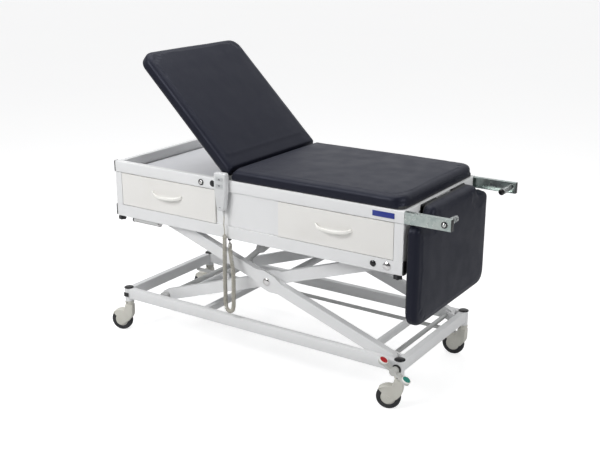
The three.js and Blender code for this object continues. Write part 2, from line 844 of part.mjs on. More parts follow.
function actuatorRod() {
  const inside = actuatorLong - rodLap;
  const eyeShare = 0.7;
  const end = actuatorReach - eyeRadius * eyeShare;
  const rod = turnX([[0, inside], [rodRadius, inside], [rodRadius, end], [0, end]]);
  const eye = rodY(eyeRadius, -eyeWide / 2, eyeWide / 2, actuatorReach, 0, roundSides);
  const hole = rodY(actuatorPinRadius + eyePlay, -eyeWide, eyeWide, actuatorReach, 0, midSides);
  return cut(join(rod, eye), hole);
}

piece("actuator_tube", actuatorTube(), "grey", actuatorGroup);
piece("actuator_rod", actuatorRod(), "steel", actuatorGroup);

// Box: rails, end frames, drawer housing, tray deck
const box = new THREE.Group();
table.add(box);

// Top rail: a tube open at the foot end for the pull-out bar, with its head cap and hinge bracket
function topRail(side) {
  const shape = tubeShape(topRailIn, boxHalf, topRailBottom, topRailTop, topRailWall, railCorner);
  const rail = extrudeX(shape, boxHead, boxFoot, 2);
  const cap = extrudeX(roundRect(topRailIn, boxHalf, topRailBottom, topRailTop, railCorner),
    boxHead - endCapThick, boxHead + clearance);
  const made = join(rail, cap, hingeBracket());
  return side > 0 ? made : made.scale(1, -1, 1);
}

// Bracket on the rail's inner face that holds the back hinge pin
function hingeBracket() {
  const outer = topRailIn + clearance;
  const inner = topRailIn - bracketThick;
  const tongue = ratchetY - ratchetThick * 3;
  return join(block(backX - nose, backX + nose, inner, outer, trayTop + clearance, backZ),
    rodY(nose, inner, outer, backX, backZ), rodY(hingePinRadius, tongue, outer, backX, backZ));
}

function bottomRail(side) {
  const [y0, y1, w, f] = [lowRailIn, boxHalf, boxHalf - lowRailWeb, lowRailFlange];
  const [z0, z1] = [lowRailBottom, lowRailTop];
  const shape = polygon([[y0, z0], [y1, z0], [y1, z1], [y0, z1], [y0, z1 - f], [w, z1 - f], [w, z0 + f],
    [y0, z0 + f]]);
  const cap = (x0, x1) => extrudeX(roundRect(y0, y1, z0, z1, railCorner), x0, x1);
  const hole = rodY(pivotPinRadius + bushFit, w - overrun, y1 + overrun, pivotX, highPivotZ, roundSides);
  const rail = join(extrudeX(shape, boxHead, boxFoot), cap(boxHead - endCapThick, boxHead + clearance),
    cap(boxFoot - clearance, boxFoot + footCapThick));
  const made = cut(rail, hole);
  return side > 0 ? made : made.scale(1, -1, 1);
}

// End frame of the box: cross rail, panel below it and the near stile
function boxEnd(x, inward, stile) {
  const reach = topRailIn - clearance;
  const panelReach = boxHalf - panelThick - clearance;
  const [railA, railB] = [x, x + inward * headRailWide];
  const rail = extrudeY(tubeShape(Math.min(railA, railB), Math.max(railA, railB), topRailBottom, topRailTop,
    topRailWall, railCorner), -reach, reach);
  const [z0, z1] = [lowRailTop + clearance, topRailBottom - clearance];
  const inner = x + inward * panelThick;
  const panel = block(x, inner, -boxHalf, panelReach, z0, z1);
  const joint = block(x, inner, -reach, reach, z1 - overrun, topRailTop - railCorner);
  const low = block(x, inner, -lowRailIn + clearance, lowRailIn - clearance, lowRailBottom, z0 + overrun);
  const post = block(x, x + inward * stile, -boxHalf, -boxHalf + panelThick, z0, z1);
  return join(rail, panel, joint, low, post);
}

// Drawer housing: far panel, recessed centre panel and four partitions with their fixed runners
function drawerHousing() {
  const [z0, z1] = [lowRailTop + clearance, topRailBottom - clearance];
  const face = -boxHalf;
  const centre = block(centrePanelHead + clearance, centrePanelFoot - clearance, face + centrePanelBack,
    face + centrePanelBack + panelThick, z0 + clearance, z1 - clearance);
  const inset = panelThick + clearance;
  const far = block(boxHead + inset, boxFoot - inset, boxHalf - panelThick, boxHalf, z0, z1);
  const behind = face + centrePanelBack + panelThick / 2;
  const front = face + inset;
  const places = [[headOpening[0], -1, front], [headOpening[1], 1, behind], [footOpening[0], -1, behind],
    [footOpening[1], 1, front]];
  const z = lowRailTop + drawerLift + drawerTall / 2;
  const walls = places.map(([x, out, y]) => join(
    block(x, x + out * partitionThick, y, boxHalf - clearance, z0, z1),
    block(x + out * overrun / 2, x - out * runnerThick, face + frontThick + runGap * 2,
      boxHalf - frontThick, z - runnerTall / 2, z + runnerTall / 2)));
  return join(far, centre, walls);
}

function beam() {
  const reach = boxHalf - lowRailWeb - clearance;
  const [x0, x1] = [actuatorTopX - beamWide / 2, actuatorTopX + beamWide / 2];
  const zTop = lowRailTop - lowRailFlange - clearance;
  const bar = extrudeY(tubeShape(x0, x1, zTop - beamTall, zTop, armWall, railCorner), -reach, reach);
  const inner = eyeWide / 2 + actuatorLugGap;
  const half = actuatorPinRadius * 2;
  const lugs = sides.map((side) => {
    const [y0, y1] = [side * inner, side * (inner + actuatorLugThick)];
    const [low, high] = [Math.min(y0, y1), Math.max(y0, y1)];
    return join(
      block(actuatorTopX - half, actuatorTopX + half, low, high,
        actuatorTopZ, zTop - beamTall + armWall),
      rodY(half, low, high, actuatorTopX, actuatorTopZ, midSides));
  });
  const pin = rodY(actuatorPinRadius, -inner - actuatorLugThick / 2, inner + actuatorLugThick / 2,
    actuatorTopX, actuatorTopZ);
  return join(bar, lugs, pin);
}

function trayDeck() {
  const reach = topRailIn - clearance;
  return block(trayHead, trayFoot, -reach, reach, topRailBottom, trayTop);
}

function upperPivot() {
  const reach = boxHalf + runGap;
  const shaft = rodY(pivotPinRadius, -reach, reach, pivotX, highPivotZ, roundSides);
  const domes = sides.map((side) => domeY(domeRadius, domeRise, pivotX, side * (boxHalf + clearance),
    highPivotZ, side));
  return join(shaft, domes);
}

// Fittings on the near rails: plugs, clip and gland, grey cylinder, catch bolt, star knobs
const [glandX, glandY] = [cordRoute.at(-1)[0], cordRoute.at(-1)[1]];

function topFittings() {
  const clip = block(handMiddle - clipLong / 2, handMiddle + clipLong / 2, -boxHalf - clearance - clipThick,
    -boxHalf + clearance, topRailBottom + railCorner, topRailTop - railCorner);
  return join(domeY(plugRadius, plugRise, roundPlugX, -boxHalf + clearance, barMiddle, -1), clip);
}

function lowFittings() {
  const gland = rodZ(glandRadius, lowRailBottom - glandTall, lowRailBottom + clearance, glandX, glandY);
  const dome = domeY(plugRadius - runGap, plugRise * 2, domePlugX, -boxHalf + clearance, highPivotZ, -1);
  const z = lowRailBottom - cylinderRadius + runGap;
  const ringLong = cylinderRadius / 2;
  const body = rodX(cylinderRadius, cylinderHead, cylinderFoot, -knobY, z, roundSides);
  const collars = [cylinderHead, cylinderFoot - ringLong].map((x) => rodX(cylinderRadius + runGap,
    x, x + ringLong, -knobY, z, roundSides));
  return join(gland, dome, body, collars);
}

function catchHole() {
  return rodY(hingePinRadius + bushFit, -boxHalf - overrun, -topRailIn + overrun, pawlX, pawlZ);
}

function catchBolt() {
  const y0 = -boxHalf - clearance;
  const inner = -ratchetY + ratchetThick / 2 + clearance;
  const shank = rodY(hingePinRadius, y0 - catchOut / 2, inner, pawlX, pawlZ);
  const ring = rodY(catchRing, y0 - catchOut / 3, y0, pawlX, pawlZ, roundSides);
  return join(shank, ring, domeY(catchRadius, catchOut, pawlX, y0, pawlZ, -1));
}

// Star knob on a threaded stem under the near bottom rail
function starKnob(x) {
  const lobes = 5;
  const points = lobes * 4;
  const dipShare = 0.72;
  const headShare = 0.75;
  const outline = new THREE.Shape();
  for (let i = 0; i < points; i += 1) {
    const turn = (i / points) * Math.PI * 2;
    const wave = (1 + Math.cos(turn * lobes)) / 2;
    const r = knobRadius * (dipShare + (1 - dipShare) * wave);
    const [u, v] = [r * Math.cos(turn), r * Math.sin(turn)];
    if (i === 0) outline.moveTo(u, v);
    else outline.lineTo(u, v);
  }
  const top = lowRailBottom - clearance;
  const neck = knobTall / 4;
  const head = extrudeZ(outline, top - neck - knobTall * headShare, top - neck);
  const stem = rodZ(knobStem, top - neck - overrun, top, 0, 0, smallSides);
  return join(head, stem).translate(x, -knobY, 0);
}

piece("top_rail_near", cut(join(topRail(-1), topFittings()), catchHole()), "coat", box);
piece("top_rail_far", topRail(1), "coat", box);
piece("bottom_rail_near", join(bottomRail(-1), lowFittings()), "coat", box);
piece("bottom_rail_far", bottomRail(1), "coat", box);
piece("box_end_head", boxEnd(boxHead, 1, headStileWide), "coat", box);
piece("box_end_foot", join(boxEnd(boxFoot, -1, footStileWide), legLeaves()), "coat", box);
piece("drawer_housing", drawerHousing(), "coat", box);
piece("lift_beam", beam(), "coat", box);
piece("tray_deck", trayDeck(), "grey", box);
piece("upper_pivot_shaft", upperPivot(), "chrome", box);
piece("catch_bolt", catchBolt(), "chrome", box);
piece("knob_head", starKnob(knobHeadX), "black", box);
piece("knob_foot", starKnob(knobFootX), "black", box);

// Drawers: front, sheet tray with moving runners, bow handle
function drawerFront([x0, x1]) {
  const edge = drawerGap;
  const shape = roundRect(x0 + edge, x1 - edge, lowRailTop + edge, topRailBottom - edge, edge);
  return extrudeY(shape, -boxHalf, -boxHalf + frontThick, 2);
}

function drawerTray([x0, x1]) {
  const [u0, u1] = [x0 + runnerInset, x1 - runnerInset];
  const z0 = lowRailTop + drawerLift;
  const z1 = z0 + drawerTall;
  const y0 = -boxHalf + frontThick + clearance;
  const y1 = y0 + drawerDeep;
  const tray = cut(block(u0, u1, y0, y1, z0, z1),
    block(u0 + trayWall, u1 - trayWall, y0 + trayWall, y1 - trayWall, z0 + trayWall, z1 + overrun));
  const mid = (z0 + z1) / 2;
  const runner = runnerTall / 2 - runGap;
  const rails = [[u0, -1], [u1, 1]].map(([x, out]) => block(x - out * trayWall / 2,
    x + out * (runnerInset - runnerThick - runnerPlay), y0, y1 - frontThick, mid - runner, mid + runner));
  return join(tray, rails);
}

function bowHandle([x0, x1]) {
  const x = (x0 + x1) / 2;
  const half = handleLong / 2;
  const z = topRailBottom - handleTop;
  const pull = 4 / 3;
  const bulgeShare = 0.8;
  const face = -boxHalf;
  const curve = new THREE.CubicBezierCurve3(
    new THREE.Vector3(x - half, face + runGap, z),
    new THREE.Vector3(x - half * bulgeShare, face - handleOut * pull, z - handleDroop * pull),
    new THREE.Vector3(x + half * bulgeShare, face - handleOut * pull, z - handleDroop * pull),
    new THREE.Vector3(x + half, face + runGap, z));
  const [wide, tall] = [handleWide / 2, handleTall / 2];
  const section = roundRect(-wide, wide, -tall, tall, wide / 2);
  const steps = 7;
  const bar = sweep(curve, section, steps);
  return cut(bar, block(x - handleLong, x + handleLong, face - clearance, face + frontThick, lowRailTop,
    topRailTop));
}

// Section carried along a curve, kept level: its second axis stays near +Z
function sweep(curve, section, steps) {
  const outline = section.getPoints(1);
  outline.pop();
  const count = outline.length;
  const positions = [];
  const up = new THREE.Vector3(0, 0, 1);
  for (let i = 0; i <= steps; i += 1) {
    const point = curve.getPoint(i / steps);
    const along = curve.getTangent(i / steps);
    const side = new THREE.Vector3().crossVectors(along, up).normalize();
    const rise = new THREE.Vector3().crossVectors(side, along);
    for (const { x, y } of outline) {
      positions.push(...point.clone().addScaledVector(side, x).addScaledVector(rise, y));
    }
  }
  return ringsToSolid(positions, count);
}

// Closed surface through rings of points, one after another, with a flat fan at each end
function ringsToSolid(positions, count) {
  const rings = positions.length / 3 / count;
  const faces = [];
  for (let i = 0; i + 1 < rings; i += 1) {
    for (let j = 0; j < count; j += 1) {
      const [a, b] = [i * count + j, i * count + ((j + 1) % count)];
      faces.push(a, b, b + count, a, b + count, a + count);
    }
  }
  for (const [start, flip] of [[0, true], [(rings - 1) * count, false]]) {
    const middle = new THREE.Vector3();
    for (let j = 0; j < count; j += 1) {
      middle.add(new THREE.Vector3().fromArray(positions, (start + j) * 3));
    }
    middle.divideScalar(count);
    const centre = positions.length / 3;
    positions.push(...middle);
    for (let j = 0; j < count; j += 1) {
      const [a, b] = [start + j, start + ((j + 1) % count)];
      faces.push(...(flip ? [b, a, centre] : [a, b, centre]));
    }
  }
  const geometry = new THREE.BufferGeometry();
  geometry.setAttribute("position", new THREE.Float32BufferAttribute(positions, 3));
  geometry.setIndex(faces);
  return geometry;
}

for (const [name, opening] of [["drawer_head", headOpening], ["drawer_foot", footOpening]]) {
  const drawer = new THREE.Group();
  box.add(drawer);
  piece(`${name}_front`, drawerFront(opening), "front", drawer);
  piece(`${name}_tray`, drawerTray(opening), "steel", drawer);
  piece(`${name}_handle`, bowHandle(opening), "front", drawer);
}

// Upholstery: cushions with a crown and drawn-in sides on thin boards
function outlineOf(shape, arcSteps, longest) {
  const corners = shape.getPoints(arcSteps);
  const points = [];
  corners.forEach((from, i) => {
    const to = corners[(i + 1) % corners.length];
    const gap = from.distanceTo(to);
    if (gap < clearance / 3) return;
    const parts = Math.ceil(gap / longest);
    for (let k = 0; k < parts; k += 1) points.push(from.clone().lerp(to, k / parts));
  });
  return points;
}

function cushion(shape, z0, z1, arcSteps) {
  const points = outlineOf(shape, arcSteps, padHalf / 2);
  const count = points.length;
  const normals = points.map((point, i) => {
    const along = points[(i + 1) % count].clone().sub(points[(i + count - 1) % count]).normalize();
    return new THREE.Vector2(along.y, -along.x);
  });
  const centre = new THREE.Vector2();
  points.forEach((point) => centre.addScaledVector(point, 1 / count));
  const rim = z1 - padCrown;
  const waist = (z0 + rim) / 2;
  const tuckShare = 0.6;
  const rings = [[padUnderEdge, z0], [padDraw, z0 + padUnderEdge * tuckShare],
    [0, waist - padUnderEdge / 2]];
  const arcs = 3;
  for (let i = 0; i <= arcs; i += 1) {
    const turn = (i / arcs) * Math.PI / 2;
    rings.push([padEdge * (1 - Math.cos(turn)), rim - padEdge * (1 - Math.sin(turn))]);
  }
  const positions = [];
  for (const [inset, z] of rings) {
    points.forEach((point, i) => {
      positions.push(...point.clone().addScaledVector(normals[i], -inset), z);
    });
  }
  const crownShares = [0.8, 0.45];
  for (const share of crownShares) {
    points.forEach((point, i) => {
      const edge = point.clone().addScaledVector(normals[i], -padEdge);
      positions.push(...centre.clone().lerp(edge, share), z1 - padCrown * share ** 4);
    });
  }
  return ringsToSolid(positions, count);
}

const spare = padEdge + padUnderEdge;

function seat() {
  const z0 = boardBottom + boardThick + clearance;
  const shape = padShape(seatHead - spare, seatFoot, padEdge + padDraw, padCorner);
  const body = cushion(shape, z0, seatTop, 4);
  const waste = extrudeY(polygon([[seatHead - spare * 2, z0 - overrun], [seatHead, z0 - overrun],
    [seatHead + seatMitre, seatTop + overrun], [seatHead - spare * 2, seatTop + overrun]]),
  -padHalf - overrun, padHalf + overrun);
  return cut(body, waste);
}

// Plan outline with one corner radius at the head end and another at the foot end
function padShape(x0, x1, rHead, rFoot) {
  const h = padHalf;
  const shape = new THREE.Shape();
  shape.moveTo(x0 + rHead, -h);
  shape.lineTo(x1 - rFoot, -h).absarc(x1 - rFoot, -h + rFoot, rFoot, -Math.PI / 2, 0);
  shape.lineTo(x1, h - rFoot).absarc(x1 - rFoot, h - rFoot, rFoot, 0, Math.PI / 2);
  shape.lineTo(x0 + rHead, h).absarc(x0 + rHead, h - rHead, rHead, Math.PI / 2, Math.PI);
  shape.lineTo(x0, -h + rHead).absarc(x0 + rHead, -h + rHead, rHead, Math.PI, Math.PI * 1.5);
  return shape;
}

const seatBoardShape = roundRect(seatBoardHead, seatFoot - legLap, -boardHalf, boardHalf, padCorner / 2);
piece("seat_board", extrudeZ(seatBoardShape, boardBottom, boardBottom + boardThick, 3), "board", box);
piece("seat_cushion", seat(), "pad", box);

// Back section, drawn flat about its hinge axis and then raised

function backBoard() {
  const outline = new THREE.Shape();
  outline.moveTo(-backLong + legLap, -nose).lineTo(0, -nose);
  outline.absarc(0, 0, nose, -Math.PI / 2, Math.PI / 2).lineTo(-backLong + legLap, nose);
  const board = extrudeY(outline, -boardHalf, boardHalf, 4);
  const clear = nose + bracketThick + runGap;
  const notches = sides.map((side) => block(-clear, clear, side * (ratchetY - ratchetThick),
    side * (boardHalf + overrun), -nose - overrun, nose + overrun));
  const bore = rodY(hingePinRadius + bushFit, -boardHalf, boardHalf, 0, 0);
  return cut(board, notches, bore);
}

function backCushion() {
  const [z0, z1] = [nose + clearance, backThick - nose];
  const shape = padShape(-backLong, spare, padCorner, padEdge + padDraw);
  const body = cushion(shape, z0, z1, 4);
  const waste = extrudeY(polygon([[spare * 2, z0 - overrun], [-backMitreLow, z0 - overrun],
    [-backMitreHigh, z1 + overrun], [spare * 2, z1 + overrun]]), -padHalf - overrun, padHalf + overrun);
  return cut(body, waste);
}

// Toothed sector under the near edge of the board; the release pawl points at its teeth
function ratchetSector() {
  const [from, to] = sectorEnds.map((angle) => THREE.MathUtils.degToRad(angle));
  const root = ratchetRadius - ratchetTooth;
  const points = [[0, -nose + clearance], [-root, -nose + clearance]];
  const leanShare = 0.35;
  for (let i = 0; i < ratchetTeeth; i += 1) {
    const turn = from + ((to - from) * i) / ratchetTeeth;
    const tip = from + ((to - from) * (i + leanShare)) / ratchetTeeth;
    points.push([root * Math.cos(turn), root * Math.sin(turn)]);
    points.push([ratchetRadius * Math.cos(tip), ratchetRadius * Math.sin(tip)]);
  }
  points.push([root * Math.cos(to), root * Math.sin(to)]);
  const [y0, y1] = [-ratchetY - ratchetThick / 2, -ratchetY + ratchetThick / 2];
  const plate = join(extrudeY(polygon(points), y0, y1), rodY(nose, y0, y1, 0, 0, roundSides));
  return cut(plate, rodY(hingePinRadius + bushFit, y0 - overrun, y1 + overrun, 0, 0));
}

const pawlAngle = THREE.MathUtils.degToRad(202);

function pawl() {
  const tipX = backX + (ratchetRadius + runGap) * Math.cos(pawlAngle);
  const tipZ = backZ + (ratchetRadius + runGap) * Math.sin(pawlAngle);
  const [y0, y1] = [-ratchetY - ratchetThick / 2, -ratchetY + ratchetThick / 2];
  const neckShare = 0.7;
  const neck = pawlBossRadius * neckShare;
  const lever = extrudeY(polygon([[pawlX, pawlZ - neck], [tipX - neck, tipZ - neck], [tipX, tipZ],
    [tipX - neck, tipZ + runGap], [pawlX, pawlZ + neck]]), y0, y1);
  const boss = rodY(pawlBossRadius, y0, y1, pawlX, pawlZ, roundSides);
  const hole = rodY(hingePinRadius + bushFit, y0 - overrun, y1 + overrun, pawlX, pawlZ);
  return cut(join(lever, boss), hole);
}

// Fixed leaves of the leg hinge on the foot cross rail
function legLeaves() {
  const face = boxFoot - clearance;
  return join(sides.map((side) => {
    const [low, high] = [side * leafInner, side * leafOuter].sort((a, b) => a - b);
    const end = (high - low) / 4;
    const plate = block(face, boxFoot + panelThick, low, high, legZ - leafLong, legZ);
    const knuckles = [[low, low + end], [high - end, high]].map(([y0, y1]) => join(
      rodY(knuckleRadius, y0, y1, legX, legZ), block(face, legX, y0, y1, legZ - panelThick, legZ)));
    return join(plate, knuckles, rodY(knuckleRadius / 2, low, high, legX, legZ));
  }));
}

piece("back_pawl", pawl(), "steel", box);
const back = new THREE.Group();
back.position.set(backX, 0, backZ);
back.rotation.y = THREE.MathUtils.degToRad(backAngle);
table.add(back);
piece("back_board", join(backBoard(), ratchetSector()), "board", back);
piece("back_cushion", backCushion(), "pad", back);

// Leg section, drawn level about its hinge axis and then hung down; shoulders pass under the pegs
function legShape(neck, half, end, r) {
  const notch = r / 2;
  const turn = Math.PI / 2;
  const top = -legLap;
  const shape = new THREE.Shape();
  shape.moveTo(top + notch, -neck).lineTo(legShoulder - notch, -neck);
  shape.absarc(legShoulder - notch, -neck - notch, notch, turn, 0, true);
  shape.lineTo(legShoulder, -half + notch);
  shape.absarc(legShoulder + notch, -half + notch, notch, Math.PI, turn * 3);
  shape.lineTo(end - r, -half).absarc(end - r, -half + r, r, -turn, 0);
  shape.lineTo(end, half - r).absarc(end - r, half - r, r, 0, turn);
  shape.lineTo(legShoulder + notch, half).absarc(legShoulder + notch, half - notch, notch, turn, Math.PI);
  shape.lineTo(legShoulder, neck + notch).absarc(legShoulder - notch, neck + notch, notch, 0, -turn, true);
  shape.lineTo(top + notch, neck).absarc(top + notch, neck - notch, notch, turn, Math.PI);
  shape.lineTo(top, -neck + notch).absarc(top + notch, -neck + notch, notch, Math.PI, turn * 3);
  return shape;
}

function legBoard() {
  const inset = padHalf - boardHalf;
  const board = extrudeZ(legShape(legNeck - inset, boardHalf, legLong - inset, padCorner), legBack,
    legBack + boardThick, 2);
  const leaves = sides.map((side) => {
    const [low, high] = [side * leafInner, side * leafOuter].sort((a, b) => a - b);
    const end = (high - low) / 4 + runGap / 2;
    const [y0, y1] = [low + end, high - end];
    return join(block(-knuckleRadius / 2, leafLong, y0, y1, legBack - panelThick, legBack + overrun / 2),
      block(-panelThick / 2, panelThick / 2, y0, y1, 0, legBack - panelThick / 2),
      rodY(knuckleRadius, y0, y1, 0, 0));
  });
  const pinHole = rodY(knuckleRadius / 2 + clearance, -leafOuter, leafOuter, 0, 0);
  return cut(join(board, leaves), pinHole);
}

const leg = new THREE.Group();
leg.position.set(legX, 0, legZ);
leg.rotation.y = Math.PI / 2;
table.add(leg);
piece("leg_board", legBoard(), "board", leg);
const legOutline = legShape(legNeck, padHalf, legLong, padCorner);
piece("leg_cushion", cushion(legOutline, legBack + boardThick + clearance, legFront, 2), "pad", leg);

// Pull-out bars inside the top rails, each with an end plate, a bolt and an inward peg
function pullBar(side) {
  const plateX = barFoot - barPlate;
  const socketShare = 0.6;
  const tipShare = 1.2;
  const noseShare = 0.7;
  const channel = extrudeX(polygon([
    [barIn, barBottom], [barOut, barBottom], [barOut, barTop], [barIn, barTop],
    [barIn, barTop - barWall], [barOut - barWall, barTop - barWall],
    [barOut - barWall, barBottom + barWall], [barIn, barBottom + barWall]]),
    barHead, plateX + overrun / 2);
  const plate = block(plateX, barFoot, barIn, barOut, barBottom, barTop);
  const socket = boltRadius * socketShare;
  const bolt = turnY([[0, barOut - overrun], [boltRadius, barOut - overrun],
    [boltRadius, barOut + boltOut / 2], [socket, barOut + boltOut / 2],
    [socket, barOut + boltOut], [0, barOut + boltOut]],
  smallSides).translate(pegX - pegRadius, 0, barMiddle);
  const tip = pegRadius * tipShare;
  const ring = runGap;
  const peg = turnY([[0, barOut - barWall / 2], [pegRadius - ring, barOut - barWall / 2],
    [pegRadius - ring, pegReach + tip * 2], [pegRadius, pegReach + tip * 2],
    [pegRadius, pegReach + tip / 2], [pegRadius * noseShare, pegReach],
    [0, pegReach]]).translate(pegX - pegRadius, 0, barMiddle);
  const made = join(channel, plate, bolt, peg);
  return side > 0 ? made : made.scale(1, -1, 1);
}

piece("bar_near", pullBar(-1), "zinc", box);
piece("bar_far", pullBar(1), "zinc", box);

// Handset on a clip on the near rail, with two keys
function handsetBody() {
  const outline = new THREE.Shape();
  const waist = handWaist / 2;
  const r = handCorner;
  const bendShare = 0.45;
  const bend = handTop - handLong * bendShare;
  outline.moveTo(handMiddle - waist + r, handBottom).lineTo(handMiddle + waist - r, handBottom);
  outline.absarc(handMiddle + waist - r, handBottom + r, r, -Math.PI / 2, 0);
  outline.lineTo(handFoot, bend).lineTo(handFoot, handTop - r);
  outline.absarc(handFoot - r, handTop - r, r, 0, Math.PI / 2);
  outline.lineTo(handHead + r, handTop).absarc(handHead + r, handTop - r, r, Math.PI / 2, Math.PI);
  outline.lineTo(handHead, bend).lineTo(handMiddle - waist, handBottom + r);
  outline.absarc(handMiddle - waist + r, handBottom + r, r, Math.PI, Math.PI * 1.5);
  const body = extrudeY(outline, handFace, handBack, 3);
  const pockets = [keyUpZ, keyDownZ].map((z) => block(handMiddle - keyWide / 2 - keyPlay,
    handMiddle + keyWide / 2 + keyPlay, handFace - overrun, handFace + keySink + keyRise,
    z - keyTall / 2 - keyPlay, z + keyTall / 2 + keyPlay));
  const relief = rodZ(reliefRadius, handBottom - reliefTall, handBottom + overrun, cordRoute[0][0],
    handFace + handThick / 2, smallSides);
  return join(cut(body, pockets), relief);
}

function key(z) {
  const r = railCorner / 2;
  const [u, v] = [keyWide / 2, keyTall / 2];
  return extrudeY(roundRect(handMiddle - u, handMiddle + u, z - v, z + v, r),
    handFace - keyRise / 2, handFace + keySink, 2);
}

piece("handset_body", handsetBody(), "handset", box);
piece("button_up", key(keyUpZ), "grey", box);
piece("button_down", key(keyDownZ), "grey", box);

// Curly cord: one unbroken wire wound about the route, with a straight end at each side
const route = new THREE.CatmullRomCurve3(cordRoute.map(([x, y, z]) => new THREE.Vector3(x, y, z)));
const routeLong = route.getLength();
const curls = Math.round(routeLong / curlPitch);

function wirePoints() {
  const steps = curls * curlSteps;
  const frames = route.computeFrenetFrames(steps, false);
  const rampTurns = 0.75;
  const points = [];
  for (let i = 0; i <= steps; i += 1) {
    const share = i / steps;
    const turns = share * curls;
    const grow = Math.min(1, turns / rampTurns, (curls - turns) / rampTurns);
    const angle = turns * Math.PI * 2;
    const radius = curlRadius * grow;
    points.push(route.getPointAt(share)
      .addScaledVector(frames.normals[i], radius * Math.cos(angle))
      .addScaledVector(frames.binormals[i], radius * Math.sin(angle)));
  }
  const straight = wireRadius * 2;
  const [first, last] = [points[0], points.at(-1)];
  const up = new THREE.Vector3(0, 0, 1);
  const start = first.clone().addScaledVector(up, straight);
  const end = last.clone().addScaledVector(up, straight);
  return [start, ...points, end];
}

// Wire skin: faces of each ring are carried along without twist, ends square to the lead and the gland
function wireSkin(points) {
  const positions = [];
  const up = new THREE.Vector3(0, 0, 1);
  let side = new THREE.Vector3(1, 0, 0);
  points.forEach((point, i) => {
    const atEnd = i === 0 || i === points.length - 1;
    const along = atEnd ? up.clone().multiplyScalar(i === 0 ? -1 : 1)
      : points[i + 1].clone().sub(points[i - 1]).normalize();
    side = side.clone().addScaledVector(along, -side.dot(along)).normalize();
    const other = new THREE.Vector3().crossVectors(along, side);
    for (let k = 0; k < wireFaces; k += 1) {
      const turn = (k / wireFaces) * Math.PI * 2;
      positions.push(...point.clone()
        .addScaledVector(side, wireRadius * Math.cos(turn))
        .addScaledVector(other, wireRadius * Math.sin(turn)));
    }
  });
  return ringsToSolid(positions, wireFaces);
}

function leastGap(points) {
  let least = Infinity;
  const apartShare = 0.6;
  const apart = Math.ceil(curlSteps * apartShare);
  for (let i = 0; i < points.length; i += 1) {
    for (let j = i + apart; j < points.length; j += 1) {
      least = Math.min(least, points[i].distanceTo(points[j]) - wireRadius * 2);
    }
  }
  return least;
}

const wire = wirePoints();
const curlTop = wire[0].z;
const curlEnd = wire.at(-1);
const leadY = handFace + handThick / 2;
const leadTop = handBottom - reliefTall - clearance;

// Straight lead from the strain relief to the curls, and the short tail from the curls into the gland
function straightLead() {
  const bow = new THREE.CatmullRomCurve3([
    new THREE.Vector3(leadX, leadY, leadTop),
    new THREE.Vector3(leadX, leadY, leadTop - leadRadius * 2),
    new THREE.Vector3((leadX + wire[0].x) / 2, (leadY + wire[0].y) / 2, (leadTop + curlTop) / 2),
    new THREE.Vector3(wire[0].x, wire[0].y, curlTop + leadRadius * 2),
    new THREE.Vector3(wire[0].x, wire[0].y, curlTop + clearance)]);
  const ring = new THREE.Shape().absarc(0, 0, leadRadius, 0, Math.PI * 2);
  return new THREE.ExtrudeGeometry(ring,
    { extrudePath: bow, steps: leadFaces, curveSegments: leadFaces / 2 });
}

piece("cord_lead", straightLead(), "cord", box);
piece("cord_curl", wireSkin(wire), "cord", box);
const wireGap = leastGap(wire).toFixed(2);
console.log(`curly cord: ${curls} curls on ${routeLong.toFixed(1)} mm, least gap ${wireGap} mm`);
const glandMouth = lowRailBottom - clearance - glandTall;
console.log(`curl ends at z ${curlEnd.z.toFixed(2)}, gland mouth at z ${glandMouth.toFixed(2)}`);

// Origin on the floor under the middle of the table, cords left out
const cordNames = ["cord_lead", "cord_curl"];
table.updateMatrixWorld(true);
const whole = new THREE.Box3();
table.traverse((mesh) => {
  if (!mesh.isMesh || cordNames.includes(mesh.name)) return;
  whole.union(new THREE.Box3().setFromObject(mesh, true));
});
const middle = whole.getCenter(new THREE.Vector3());
table.position.set(-middle.x, -middle.y, -whole.min.z);
console.log("origin", middle.x.toFixed(3), middle.y.toFixed(3), whole.min.z.toFixed(3));

export default table;
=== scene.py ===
"""Looks of an examination table with two drawers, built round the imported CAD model."""
import math

import bmesh
import bpy
from mathutils import Matrix, Vector, noise


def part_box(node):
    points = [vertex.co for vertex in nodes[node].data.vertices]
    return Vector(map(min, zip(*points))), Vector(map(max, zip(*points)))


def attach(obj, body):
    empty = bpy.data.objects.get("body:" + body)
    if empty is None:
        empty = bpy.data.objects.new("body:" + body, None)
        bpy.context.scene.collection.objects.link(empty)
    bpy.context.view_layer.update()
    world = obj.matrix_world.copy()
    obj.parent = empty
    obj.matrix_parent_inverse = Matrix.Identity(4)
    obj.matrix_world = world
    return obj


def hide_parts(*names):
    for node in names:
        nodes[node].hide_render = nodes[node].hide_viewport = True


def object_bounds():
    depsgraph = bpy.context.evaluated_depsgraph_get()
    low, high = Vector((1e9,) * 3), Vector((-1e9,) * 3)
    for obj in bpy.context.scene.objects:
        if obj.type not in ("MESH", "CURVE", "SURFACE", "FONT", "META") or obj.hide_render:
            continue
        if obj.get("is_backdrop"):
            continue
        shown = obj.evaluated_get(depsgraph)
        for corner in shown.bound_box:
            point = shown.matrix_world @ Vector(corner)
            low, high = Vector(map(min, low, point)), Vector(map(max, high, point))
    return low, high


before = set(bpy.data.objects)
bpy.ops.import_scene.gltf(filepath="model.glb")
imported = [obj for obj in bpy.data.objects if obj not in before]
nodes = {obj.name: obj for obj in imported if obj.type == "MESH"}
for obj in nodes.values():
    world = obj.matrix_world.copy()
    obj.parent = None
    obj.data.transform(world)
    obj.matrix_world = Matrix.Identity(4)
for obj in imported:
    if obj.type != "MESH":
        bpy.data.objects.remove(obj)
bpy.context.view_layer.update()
scene = bpy.context.scene

# The frame's origin in the CAD source, which counts in millimetres from the middle of the posts
ORIGIN_X, ORIGIN_Y = 52.619, -17.350


